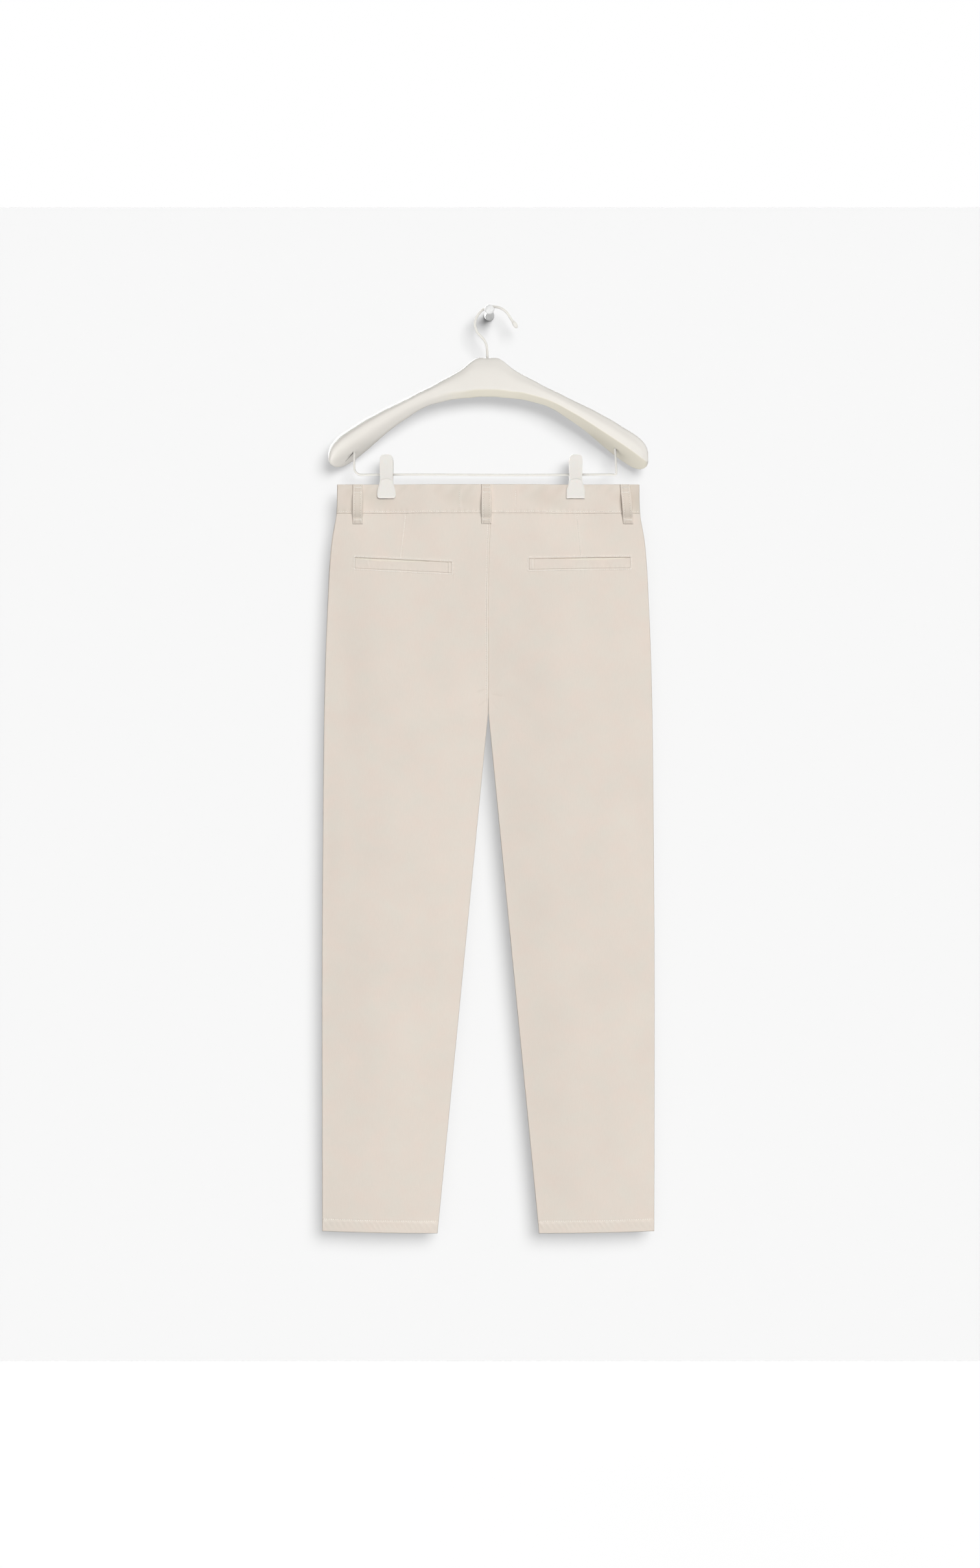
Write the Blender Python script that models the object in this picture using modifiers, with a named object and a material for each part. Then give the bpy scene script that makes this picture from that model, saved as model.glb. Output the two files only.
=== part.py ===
"""Chino trousers, hung by two clips from a broad hanger on a wall peg.

Metres, +Z up. The wall is the plane y = 0 and everything hangs in front of it, at
negative y. The back of the trousers faces -Y, so the wearer's left is at -X.
"""
import math
from collections import namedtuple

import bmesh
import bpy
from mathutils import Vector

MM = 0.001
GAP = 0.3 * MM
LEFT = -1
RIGHT = 1
BACK = -1
FRONT = 1

# Places in the room
HANG_Y = -30.0 * MM
CLOTH_X = -1.6 * MM
STEM_X = -2.9 * MM
WAIST_Z = -246.1 * MM

# Thickness of the cloth pieces
CLOTH = 1.5 * MM
HEM_CLOTH = 2.6 * MM
BAND_CLOTH = 2.6 * MM
LOOP_CLOTH = 1.6 * MM
FACING_CLOTH = 1.0 * MM
LAYER_GAP = 0.4 * MM

# Heights, as drops below the top of the waistband
BAND_DROP = 41.2 * MM
SPLIT_DROP = 70.0 * MM
CROTCH_DROP = 324.8 * MM
HEM_FOLD_DROP = 1047.0 * MM
HEM_DROP = 1064.4 * MM
HEM_RISE_OUTSIDE = 4.6 * MM
HEM_GAP_HALF = 71.9 * MM

# Half the outline's width, half the depth where the tube is fullest, and half the
# depth at its side edge, on the back and on the front, in millimetres by drop
Section = namedtuple("Section", "drop half_width depth back_edge front_edge")
SECTIONS = (
    Section(drop=0, half_width=214.4, depth=5.6, back_edge=2.5, front_edge=2.8),
    Section(drop=41, half_width=215.5, depth=6.8, back_edge=2.5, front_edge=3.1),
    Section(drop=80, half_width=221.8, depth=8.2, back_edge=1.7, front_edge=3.1),
    Section(drop=121, half_width=225.4, depth=9.2, back_edge=1.7, front_edge=3.1),
    Section(drop=176, half_width=228.2, depth=9.8, back_edge=1.7, front_edge=3.1),
    Section(drop=216, half_width=230.0, depth=9.9, back_edge=1.7, front_edge=3.1),
    Section(drop=259, half_width=231.4, depth=9.9, back_edge=1.7, front_edge=1.7),
    Section(drop=325, half_width=233.0, depth=9.7, back_edge=1.7, front_edge=1.7),
    Section(drop=470, half_width=234.6, depth=9.3, back_edge=1.7, front_edge=1.7),
    Section(drop=691, half_width=236.0, depth=8.5, back_edge=1.7, front_edge=1.7),
    Section(drop=900, half_width=235.9, depth=7.6, back_edge=1.7, front_edge=1.7),
    Section(drop=1047, half_width=235.6, depth=7.0, back_edge=1.7, front_edge=1.7),
    Section(drop=1051, half_width=235.6, depth=7.0, back_edge=2.8, front_edge=2.8),
    Section(drop=1066, half_width=235.6, depth=7.0, back_edge=2.8, front_edge=2.8),
)

# Fly and front lap: the wearer's left front lies over the right one
FLY_OVER = 4.0 * MM
FLY_UNDER = 22.0 * MM
FLY_GAP = 0.5 * MM
FLY_FLAT = 24.0 * MM
FLY_FADE = 40.0 * MM
FLY_END_DROP = 206.0 * MM
FLY_CLOSED_DROP = 222.0 * MM
FLY_LEVEL_DROP = 240.0 * MM
NEAR_COLUMNS = (0.0, 9.0 * MM, 18.0 * MM, 28.0 * MM, 44.0 * MM)

# Back welt pockets: distances from the middle and drops of the mouth's two ends
Welt = namedtuple("Welt", "name hand inner outer inner_drop outer_drop")
WELTS = (
    Welt("left", LEFT, inner=51.8, outer=188.8, inner_drop=111.0, outer_drop=104.0),
    Welt("right", RIGHT, inner=57.6, outer=201.4, inner_drop=106.0, outer_drop=103.5),
)
WELT_HEIGHT = 15.2 * MM
WELT_SAG = 2.2 * MM
WELT_PROUD = 0.5 * MM
WELT_STEPS = 10
FACING_MARGIN = 7.0 * MM

# Slanted front pockets
SLANT_TOP_IN = 45.0 * MM
SLANT_END_DROP = 206.0 * MM
SLANT_UNDERLAP = 18.0 * MM

# Belt loops: place of the middle, side of the body and sideways lean, in millimetres
Loop = namedtuple("Loop", "name side middle lean")
LOOPS = (
    Loop("back_left", BACK, middle=-185.0, lean=0.0),
    Loop("back_centre", BACK, middle=-2.6, lean=0.0),
    Loop("back_right", BACK, middle=196.2, lean=4.5),
    Loop("front_left", FRONT, middle=-64.0, lean=0.0),
    Loop("front_right", FRONT, middle=64.0, lean=0.0),
)
LOOP_WIDTH = 14.4 * MM
LOOP_LENGTH = 56.2 * MM
LOOP_TOP_TACK = 11.5 * MM
LOOP_LOW_TACK = 47.5 * MM
LOOP_STAND = 5.3 * MM
BAND_PROUD = 0.4 * MM

# Clips: their middles from the cloth's middle, and the pinch they make in the cloth
CLIP_X = {"left": -144.3 * MM, "right": 124.1 * MM}
CLIP_TOP_Z = -204.5 * MM
CLIP_THICK = 2.8 * MM
PINCH_DEPTH = 2.4 * MM
PINCH_FLAT = 15.0 * MM
PINCH_REACH = 45.0 * MM
PINCH_LOW = 24.0 * MM
PINCH_FADE = 72.0 * MM

# One plate of a clip: drop from its top, half its width, and its inner face's
# distance from the plane between the two plates, in millimetres
Blade = namedtuple("Blade", "drop half_width stand")
BLADES = (
    Blade(drop=0.0, half_width=4.5, stand=9.0),
    Blade(drop=1.2, half_width=6.8, stand=8.8),
    Blade(drop=3.5, half_width=8.6, stand=8.3),
    Blade(drop=7.0, half_width=9.2, stand=7.5),
    Blade(drop=16.0, half_width=9.2, stand=5.6),
    Blade(drop=25.0, half_width=9.2, stand=4.2),
    Blade(drop=31.0, half_width=9.1, stand=3.6),
    Blade(drop=38.0, half_width=9.2, stand=3.3),
    Blade(drop=46.0, half_width=11.4, stand=3.15),
    Blade(drop=54.0, half_width=12.9, stand=3.15),
    Blade(drop=58.5, half_width=12.8, stand=3.15),
    Blade(drop=60.6, half_width=12.1, stand=3.15),
    Blade(drop=61.4, half_width=10.8, stand=3.15),
)

# Hanger arm, by distance from the stem: top line, front lower edge, lowest line and
# half the depth, in millimetres
Station = namedtuple("Station", "reach top front_low bottom half_depth")
STATIONS = (
    Station(reach=0, top=-68.0, front_low=-114.2, bottom=-120.5, half_depth=13.0),
    Station(reach=15, top=-68.2, front_low=-114.8, bottom=-121.0, half_depth=13.0),
    Station(reach=20, top=-71.6, front_low=-115.1, bottom=-121.4, half_depth=13.3),
    Station(reach=27, top=-78.4, front_low=-115.9, bottom=-122.2, half_depth=13.6),
    Station(reach=35, top=-85.0, front_low=-117.0, bottom=-123.4, half_depth=14.0),
    Station(reach=51, top=-94.4, front_low=-119.4, bottom=-125.6, half_depth=15.0),
    Station(reach=67, top=-102.5, front_low=-124.4, bottom=-129.8, half_depth=16.2),
    Station(reach=83, top=-109.8, front_low=-130.3, bottom=-135.8, half_depth=17.6),
    Station(reach=98, top=-116.5, front_low=-136.8, bottom=-143.2, half_depth=19.0),
    Station(reach=114, top=-123.8, front_low=-145.2, bottom=-151.6, half_depth=20.5),
    Station(reach=130, top=-131.0, front_low=-153.8, bottom=-162.2, half_depth=21.8),
    Station(reach=146, top=-138.2, front_low=-162.4, bottom=-173.6, half_depth=22.8),
    Station(reach=162, top=-145.4, front_low=-171.6, bottom=-186.4, half_depth=23.6),
    Station(reach=178, top=-153.6, front_low=-180.8, bottom=-199.2, half_depth=24.0),
    Station(reach=194, top=-163.0, front_low=-190.4, bottom=-210.8, half_depth=24.0),
    Station(reach=206, top=-172.2, front_low=-199.4, bottom=-219.4, half_depth=22.8),
    Station(reach=214, top=-179.4, front_low=-204.6, bottom=-223.6, half_depth=20.8),
    Station(reach=220, top=-186.4, front_low=-208.0, bottom=-222.6, half_depth=17.0),
    Station(reach=223.6, top=-193.6, front_low=-208.6, bottom=-218.6, half_depth=11.5),
    Station(reach=225.4, top=-200.0, front_low=-208.0, bottom=-213.4, half_depth=5.5),
)

# Wires and peg
HOOK_RADIUS = 1.75 * MM
HOOK_BEND_X = 5.5 * MM
HOOK_BEND_Z = -19.3 * MM
HOOK_BEND_RADIUS = 26.0 * MM
HOOK_TIP_LENGTH = 12.0 * MM
HOOK_TIP_RADIUS = 3.2 * MM
BAR_RADIUS = 1.55 * MM
BAR_Z = -232.1 * MM
BAR_LEFT_X = -192.8 * MM
BAR_RIGHT_X = 178.9 * MM
BAR_END_Z = -194.5 * MM
SOCKET_DEPTH = 10.0 * MM
PEG_NECK = 3.85 * MM
PEG_COLLAR = 7.0 * MM
PEG_HEAD = 6.9 * MM
PEG_LENGTH = 46.5 * MM
BUTTON_RADIUS = 8.5 * MM
BUTTON_THICK = 3.2 * MM
BUTTON_FROM_MIDDLE = 10.0 * MM
BUTTON_DROP = 20.0 * MM


def smooth(value):
    """Ease from 0 to 1."""
    value = min(max(value, 0.0), 1.0)
    return value * value * (3.0 - 2.0 * value)


def steps(start, end, count):
    """Evenly spaced values after start, up to and including end."""
    return [start + (end - start) * (index + 1) / count for index in range(count)]


def section_value(drop, column):
    """A column of SECTIONS at a drop, in metres, on a smooth curve through its rows."""
    rows = SECTIONS
    low = 0
    while low < len(rows) - 2 and rows[low + 1].drop * MM <= drop:
        low += 1

    def tangent(index):
        before = rows[max(index - 1, 0)]
        after = rows[min(index + 1, len(rows) - 1)]
        return (getattr(after, column) - getattr(before, column)) / (after.drop - before.drop)

    first = rows[low]
    second = rows[low + 1]
    span = second.drop - first.drop
    t = min(max((drop / MM - first.drop) / span, 0.0), 1.0)
    rise = getattr(second, column) - getattr(first, column)
    if column.endswith("edge"):
        return (getattr(first, column) + rise * t) * MM
    curve = getattr(first, column) + rise * smooth(t)
    curve += span * tangent(low) * t * (1.0 - t) ** 2
    curve -= span * tangent(low + 1) * t * t * (1.0 - t)
    return curve * MM


def inner_line(drop):
    """Distance of a centre or inside-leg edge from the middle."""
    below = max(drop - CROTCH_DROP, 0.0)
    return GAP / 2 + below * HEM_GAP_HALF / (HEM_DROP - CROTCH_DROP)


def pinch(x, drop):
    """How far the clips press the cloth flat here, from 0 to 1."""
    low = smooth(1.0 - (drop - PINCH_LOW) / PINCH_FADE)
    near = min(abs(x - middle) for middle in CLIP_X.values())
    return low * smooth(1.0 - (near - PINCH_FLAT) / PINCH_REACH)


def half_depth(x, drop, side):
    """Distance of the cloth's outer face from the plane it hangs in."""
    width = section_value(drop, "half_width")
    depth = section_value(drop, "depth")
    edge = section_value(drop, "front_edge" if side == FRONT else "back_edge")
    inner = inner_line(drop)
    body = (1.0 - min(abs(x) / width, 1.0) ** 4) ** 1.3
    leg_middle = (width + inner) / 2
    off = min(abs(abs(x) - leg_middle) / ((width - inner) / 2), 1.0)
    leg = (1.0 - off ** 2) ** 1.3
    share = smooth((drop - SPLIT_DROP) / (CROTCH_DROP - SPLIT_DROP))
    full = edge + (depth - edge) * ((1.0 - share) * body + share * leg)
    return full + (PINCH_DEPTH - full) * pinch(x, drop)


def cloth_point(x, drop, side, moved_out=0.0):
    """A point on the garment, moved out from its outer face."""
    return Vector((x, side * (half_depth(x, drop, side) + moved_out), -drop))


def make_material(name, colour, roughness, metallic=0.0):
    material = bpy.data.materials.new(name)
    material.use_nodes = True
    shader = material.node_tree.nodes["Principled BSDF"]
    shader.inputs["Base Color"].default_value = (*colour, 1.0)
    shader.inputs["Roughness"].default_value = roughness
    shader.inputs["Metallic"].default_value = metallic
    return material


def place(obj, collection, parent, material=None):
    collection.objects.link(obj)
    obj.parent = parent
    if material is not None:
        obj.data.materials.append(material)
    return obj


def shade(mesh, angle=40.0):
    mesh.shade_smooth()
    mesh.set_sharp_from_angle(angle=math.radians(angle))


def sheet(name, grid, wall, outward, material, walls=None):
    """A cloth piece: an open grid of points, given its wall on the inner side.

    outward is a direction that the outer face looks in, and walls may hold a
    thickness for each row in place of one wall.
    """
    mesh = bpy.data.meshes.new(name)
    columns = len(grid[0])
    points = [tuple(point) for row in grid for point in row]
    across = grid[0][1] - grid[0][0]
    down = grid[1][0] - grid[0][0]
    turned = across.cross(down).dot(outward) < 0
    faces = []
    for row in range(len(grid) - 1):
        for column in range(columns - 1):
            corner = row * columns + column
            face = (corner, corner + 1, corner + columns + 1, corner + columns)
            faces.append(tuple(reversed(face)) if turned else face)
    mesh.from_pydata(points, [], faces)
    shade(mesh)
    obj = bpy.data.objects.new(name, mesh)
    place(obj, PARTS, TROUSERS, material)
    solidify = obj.modifiers.new("Wall", "SOLIDIFY")
    solidify.thickness = wall
    solidify.offset = -1.0
    if walls is not None:
        group = obj.vertex_groups.new(name="wall")
        for row, thickness in enumerate(walls):
            indices = list(range(row * columns, (row + 1) * columns))
            group.add(indices, thickness / wall, "REPLACE")
        solidify.vertex_group = group.name
    return obj


def prism(name, outline, depth_from, depth_to, parent):
    """A cutter: an outline of (x, z) points, extruded along Y."""
    mesh = bpy.data.meshes.new(name)
    work = bmesh.new()
    base = [work.verts.new((x, depth_from, z)) for x, z in outline]
    face = work.faces.new(base)
    top = bmesh.ops.extrude_face_region(work, geom=[face])
    moved = [item for item in top["geom"] if isinstance(item, bmesh.types.BMVert)]
    bmesh.ops.translate(work, verts=moved, vec=(0.0, depth_to - depth_from, 0.0))
    bmesh.ops.recalc_face_normals(work, faces=work.faces)
    work.to_mesh(mesh)
    work.free()
    return hide_cutter(bpy.data.objects.new(name, mesh), parent)


def rod(name, x, z_from, z_to, radius):
    """A cutter: an upright rod in the hanger's plane."""
    mesh = bpy.data.meshes.new(name)
    work = bmesh.new()
    bmesh.ops.create_cone(work, cap_ends=True, segments=16, radius1=radius, radius2=radius,
                          depth=z_to - z_from)
    bmesh.ops.translate(work, verts=work.verts, vec=(x, 0.0, (z_from + z_to) / 2))
    work.to_mesh(mesh)
    work.free()
    return hide_cutter(bpy.data.objects.new(name, mesh), HANGER)


def hide_cutter(obj, parent):
    place(obj, CUTTERS, parent)
    obj.hide_render = True
    obj.display_type = "WIRE"
    return obj


def combine(obj, tool, operation):
    modifier = obj.modifiers.new(tool.name, "BOOLEAN")
    modifier.object = tool
    modifier.operation = operation
    modifier.solver = "EXACT"


def fly_share(drop):
    """1 along the fly, falling to 0 where the two fronts meet edge to edge."""
    return min(max((FLY_CLOSED_DROP - drop) / (FLY_CLOSED_DROP - FLY_END_DROP), 0.0), 1.0)


def lap_raise(distance, drop, height):
    """How far the upper lap stands out, by distance from the middle towards its own side."""
    across = min(max((FLY_FADE - distance) / (FLY_FADE - FLY_FLAT), 0.0), 1.0)
    down = (FLY_LEVEL_DROP - drop) / (FLY_LEVEL_DROP - FLY_CLOSED_DROP)
    return height * across * min(max(down, 0.0), 1.0)


def columns_between(inner, outer, count):
    """Distances from the middle: close together by the inner edge, then even."""
    near = [inner + offset for offset in NEAR_COLUMNS]
    return near + steps(near[-1], outer, count)


def lap_edge(drop, hand):
    """A front piece's inner edge, with the fly's lap over or under the other one."""
    lap = FLY_OVER if hand == LEFT else FLY_UNDER
    return inner_line(drop) - lap * fly_share(drop)


def panel(name, hand, side, material):
    """One back or front, from the waistband's seam to the hem."""
    drops = [BAND_DROP + GAP / 2]
    drops += steps(drops[0], FLY_END_DROP, 8)
    drops += steps(FLY_END_DROP, FLY_CLOSED_DROP, 4 if side == FRONT else 1)
    drops += [FLY_LEVEL_DROP]
    drops += steps(FLY_LEVEL_DROP, CROTCH_DROP, 4)
    drops += steps(CROTCH_DROP, HEM_FOLD_DROP, 12)
    drops += [HEM_FOLD_DROP + 4.0 * MM, HEM_DROP]
    grid = []
    for drop in drops:
        inner = lap_edge(drop, hand) if side == FRONT else inner_line(drop)
        outer = section_value(drop, "half_width")
        below = max(drop - CROTCH_DROP, 0.0) / (HEM_DROP - CROTCH_DROP)
        row = []
        for distance in columns_between(inner, outer, 10):
            moved_out = 0.0
            if side == FRONT and hand == LEFT:
                moved_out = lap_raise(distance, drop, CLOTH + FLY_GAP)
            point = cloth_point(hand * distance, drop, side, moved_out)
            point.z += HEM_RISE_OUTSIDE * below * distance / outer
            row.append(point)
        grid.append(row)
    walls = [HEM_CLOTH if drop > HEM_FOLD_DROP + MM else CLOTH for drop in drops]
    return sheet(name, grid, HEM_CLOTH, Vector((0, side, 0)), material, walls)


def waistband(name, side, hand, material):
    """The waistband across the back, or one front half with its lap."""
    grid = []
    for drop in [0.0] + steps(0.0, BAND_DROP - GAP / 2, 3):
        width = section_value(drop, "half_width")
        if side == BACK:
            places = [width * share for share in [-1.0] + steps(-1.0, 1.0, 40)]
            grid.append([cloth_point(x, drop, side, BAND_PROUD) for x in places])
            continue
        row = []
        for distance in columns_between(lap_edge(drop, hand), width, 16):
            moved_out = BAND_PROUD
            if hand == LEFT:
                moved_out += lap_raise(distance, drop, BAND_CLOTH + LAYER_GAP)
            row.append(cloth_point(hand * distance, drop, side, moved_out))
        grid.append(row)
    return sheet(name, grid, BAND_CLOTH, Vector((0, side, 0)), material)


def belt_loop(loop, material):
    """A loop that stands off the waistband between its two tacks."""
    drops = [GAP, 6.0 * MM, LOOP_TOP_TACK]
    drops += steps(LOOP_TOP_TACK, LOOP_LOW_TACK, 10)
    drops += [LOOP_LENGTH]
    grid = []
    for drop in drops:
        along = (drop - LOOP_TOP_TACK) / (LOOP_LOW_TACK - LOOP_TOP_TACK)
        arch = max(1.0 - abs(2.0 * along - 1.0) ** 2.5, 0.0)
        moved_out = BAND_PROUD + GAP + LOOP_STAND * arch + LOOP_CLOTH
        middle = loop.middle * MM + loop.lean * MM * (drop / LOOP_LENGTH - 0.5)
        places = [middle + LOOP_WIDTH * share for share in (-0.5, 0.0, 0.5)]
        grid.append([cloth_point(x, drop, loop.side, moved_out) for x in places])
    outward = Vector((0, loop.side, 0))
    return sheet("belt_loop_" + loop.name, grid, LOOP_CLOTH, outward, material)


def welt_corner(welt, share, down):
    """A point of a welt's frame: share runs from its inner to its outer end."""
    distance = (welt.inner + (welt.outer - welt.inner) * share) * MM
    drop = (welt.inner_drop + (welt.outer_drop - welt.inner_drop) * share) * MM
    return welt.hand * distance, drop + down


def cut_pocket_mouth(back_panel, welt):
    """Cut the window that a welt sits in through a back panel."""
    corners = [welt_corner(welt, share, down) for share, down in
               ((0, 0), (1, 0), (1, WELT_HEIGHT), (0, WELT_HEIGHT))]
    outline = [(x, -drop) for x, drop in corners]
    cutter = prism("window_" + welt.name, outline, -20.0 * MM, 0.0, TROUSERS)
    combine(back_panel, cutter, "DIFFERENCE")


def back_pocket(welt, material):
    """The welt, its top edge sagging open, and the facing behind the mouth."""
    length = (welt.outer - welt.inner) * MM
    outward = Vector((0, BACK, 0))
    grid = []
    for level in (0.0, 0.5, 1.0):
        row = []
        for share in [0.0] + steps(0.0, 1.0, WELT_STEPS):
            kept = GAP / length + share * (1.0 - 2.0 * GAP / length)
            sag = WELT_SAG * (1.0 - (2.0 * share - 1.0) ** 2)
            top = GAP + sag
            down = top + (WELT_HEIGHT - GAP - top) * level
            x, drop = welt_corner(welt, kept, down)
            row.append(cloth_point(x, drop, BACK, WELT_PROUD))
        grid.append(row)
    sheet("back_welt_" + welt.name, grid, CLOTH, outward, material)
    margin = FACING_MARGIN / length
    grid = []
    for down in (-FACING_MARGIN, WELT_HEIGHT / 2, WELT_HEIGHT + FACING_MARGIN):
        row = []
        for share in [-margin] + steps(-margin, 1.0 + margin, WELT_STEPS):
            x, drop = welt_corner(welt, share, down)
            row.append(cloth_point(x, drop, BACK, -CLOTH - LAYER_GAP))
        grid.append(row)
    sheet("back_pocket_facing_" + welt.name, grid, FACING_CLOTH, outward, material)


def slant_line(drop):
    """Distance from the middle of the slanted pocket's mouth."""
    top = section_value(BAND_DROP, "half_width") - SLANT_TOP_IN
    end = section_value(SLANT_END_DROP, "half_width")
    return top + (end - top) * (drop - BAND_DROP) / (SLANT_END_DROP - BAND_DROP)


def cut_slant(front_panel, hand):
    """Cut a front panel off along the slanted mouth of its pocket."""
    above = BAND_DROP - 5.0 * MM
    below = SLANT_END_DROP + 5.0 * MM
    far = section_value(SLANT_END_DROP, "half_width") + 30.0 * MM
    outline = [(hand * slant_line(above), -above), (hand * far, -above),
               (hand * far, -below), (hand * slant_line(below), -below)]
    name = "slant_left" if hand == LEFT else "slant_right"
    cutter = prism(name, outline, 0.0, 20.0 * MM, TROUSERS)
    combine(front_panel, cutter, "DIFFERENCE")


def front_pocket_facing(name, hand, material):
    """The facing that shows beside the slanted mouth and runs on under the front."""
    grid = []
    start = BAND_DROP + GAP / 2
    for drop in [start] + steps(start, SLANT_END_DROP + 6.0 * MM, 9):
        inner = slant_line(drop) - SLANT_UNDERLAP
        outer = section_value(drop, "half_width")
        places = [inner] + steps(inner, outer, 5)
        grid.append([cloth_point(hand * place, drop, FRONT, -CLOTH - LAYER_GAP)
                     for place in places])
    return sheet(name, grid, FACING_CLOTH, Vector((0, FRONT, 0)), material)


def fly_zip(material):
    """The closed zip's tape, behind the right front's lap."""
    grid = []
    for drop in [46.0 * MM] + steps(46.0 * MM, 196.0 * MM, 7):
        places = [-18.0 * MM] + steps(-18.0 * MM, 6.0 * MM, 3)
        grid.append([cloth_point(x, drop, FRONT, -CLOTH - LAYER_GAP) for x in places])
    return sheet("fly_zip", grid, FACING_CLOTH, Vector((0, FRONT, 0)), material)


def turned(name, profile, segments, parent, material):
    """A turned piece: a profile of (radius, height) run down its outer side."""
    mesh = bpy.data.meshes.new(name)
    points = [(radius, 0.0, height) for radius, height in profile]
    edges = [(index, index + 1) for index in range(len(points) - 1)]
    mesh.from_pydata(points, edges, [])
    obj = bpy.data.objects.new(name, mesh)
    place(obj, PARTS, parent, material)
    screw = obj.modifiers.new("Turn", "SCREW")
    screw.steps = segments
    screw.render_steps = segments
    screw.use_merge_vertices = True
    screw.merge_threshold = 0.00001
    screw.use_smooth_shade = True
    return obj


def waist_button(material):
    """A dished button with a rim, on the upper lap of the waistband."""
    x = -BUTTON_FROM_MIDDLE
    moved_out = BAND_PROUD + BAND_CLOTH + LAYER_GAP + 2.0 * GAP
    seat = cloth_point(x, BUTTON_DROP, FRONT, moved_out)
    rim = 0.8 * MM
    profile = ((0.0, BUTTON_THICK - rim), (BUTTON_RADIUS * 0.68, BUTTON_THICK - rim),
               (BUTTON_RADIUS * 0.78, BUTTON_THICK), (BUTTON_RADIUS - rim, BUTTON_THICK),
               (BUTTON_RADIUS, BUTTON_THICK - rim), (BUTTON_RADIUS, rim),
               (BUTTON_RADIUS - rim, 0.0), (0.0, 0.0))
    obj = turned("waist_button", profile, 24, TROUSERS, material)
    obj.location = seat
    obj.rotation_euler = (-math.pi / 2, 0.0, 0.0)
    return obj


def clip_plate(name, hand_name, side, material):
    """One plate of a clip, with the saddle that it rides on the bar with."""
    middle = CLIP_X[hand_name] + CLOTH_X - STEM_X
    mesh = bpy.data.meshes.new(name)
    shares = (-1.0, -0.5, 0.0, 0.5, 1.0)
    points = []
    for blade in BLADES:
        for share in shares:
            x = middle + blade.half_width * MM * share
            points.append((x, side * blade.stand * MM, CLIP_TOP_Z - blade.drop * MM))
    faces = []
    columns = len(shares)
    for row in range(len(BLADES) - 1):
        for column in range(columns - 1):
            corner = row * columns + column
            face = (corner, corner + 1, corner + columns + 1, corner + columns)
            faces.append(tuple(reversed(face)) if side == BACK else face)
    mesh.from_pydata(points, [], faces)
    shade(mesh)
    obj = bpy.data.objects.new(name, mesh)
    place(obj, PARTS, HANGER, material)
    solidify = obj.modifiers.new("Wall", "SOLIDIFY")
    solidify.thickness = CLIP_THICK
    solidify.offset = 1.0
    bevel = obj.modifiers.new("Edge", "BEVEL")
    bevel.width = 0.6 * MM
    bevel.segments = 1
    bevel.limit_method = "ANGLE"
    bevel.angle_limit = math.radians(50)
    half = 5.0 * MM
    reach = 5.0 * MM
    outline = [(middle - half, BAR_Z - 2.0 * MM), (middle + half, BAR_Z - 2.0 * MM),
               (middle + half, BAR_Z + 2.0 * MM), (middle - half, BAR_Z + 2.0 * MM)]
    start = side * (BAR_RADIUS + GAP)
    saddle = prism("saddle_" + name, outline, start, side * reach, HANGER)
    combine(obj, saddle, "UNION")
    return obj


def hanger_section(station, reach):
    """One upright section of the hanger, its corners rounded."""
    top = station.top * MM
    low = station.front_low * MM
    bottom = station.bottom * MM
    deep = station.half_depth * MM
    shoulder = top - 0.35 * (top - low)
    corners = [(-0.5 * deep, top), (-deep, shoulder), (-deep, low), (0.25 * deep, bottom),
               (deep, (low + bottom) / 2), (deep, shoulder), (0.5 * deep, top)]
    ring = []
    for index, corner in enumerate(corners):
        here = Vector(corner)
        before = Vector(corners[index - 1])
        after = Vector(corners[(index + 1) % len(corners)])
        start = here.lerp(before, 0.35)
        end = here.lerp(after, 0.35)
        turn = (start + end) / 4 + here / 2
        ring += [start, turn, end]
    return [(reach, y, z) for y, z in ring]


def hanger_body(material):
    """The two arms as one loft, with sockets for the hook and for the bar's ends."""
    rings = []
    for station in reversed(STATIONS[1:]):
        rings.append(hanger_section(station, -station.reach * MM))
    for station in STATIONS:
        rings.append(hanger_section(station, station.reach * MM))
    work = bmesh.new()
    loops = [[work.verts.new(point) for point in ring] for ring in rings]
    count = len(loops[0])
    for first, second in zip(loops, loops[1:]):
        for index in range(count):
            after = (index + 1) % count
            work.faces.new((first[index], first[after], second[after], second[index]))
    work.faces.new(loops[0])
    work.faces.new(loops[-1])
    bmesh.ops.recalc_face_normals(work, faces=work.faces)
    mesh = bpy.data.meshes.new("hanger_body")
    work.to_mesh(mesh)
    work.free()
    shade(mesh, 35.0)
    obj = bpy.data.objects.new("hanger_body", mesh)
    place(obj, PARTS, HANGER, material)
    top = STATIONS[0].top * MM
    combine(obj, rod("socket_stem", 0.0, top - SOCKET_DEPTH, top + SOCKET_DEPTH,
                     HOOK_RADIUS + GAP), "DIFFERENCE")
    for name, x in (("socket_left", BAR_LEFT_X), ("socket_right", BAR_RIGHT_X)):
        tool = rod(name, x - STEM_X, BAR_END_Z - 30.0 * MM, BAR_END_Z + GAP, BAR_RADIUS + GAP)
        combine(obj, tool, "DIFFERENCE")
    return obj


def rounded_route(corners, share, count):
    """A route through corners in the XZ plane, each bend a soft arc."""
    route = [Vector(corners[0])]
    for index in range(1, len(corners) - 1):
        here = Vector(corners[index])
        start = here.lerp(Vector(corners[index - 1]), share)
        end = here.lerp(Vector(corners[index + 1]), share)
        for step in range(count + 1):
            t = step / count
            route.append((1 - t) ** 2 * start + 2 * t * (1 - t) * here + t * t * end)
    route.append(Vector(corners[-1]))
    return route


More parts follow.
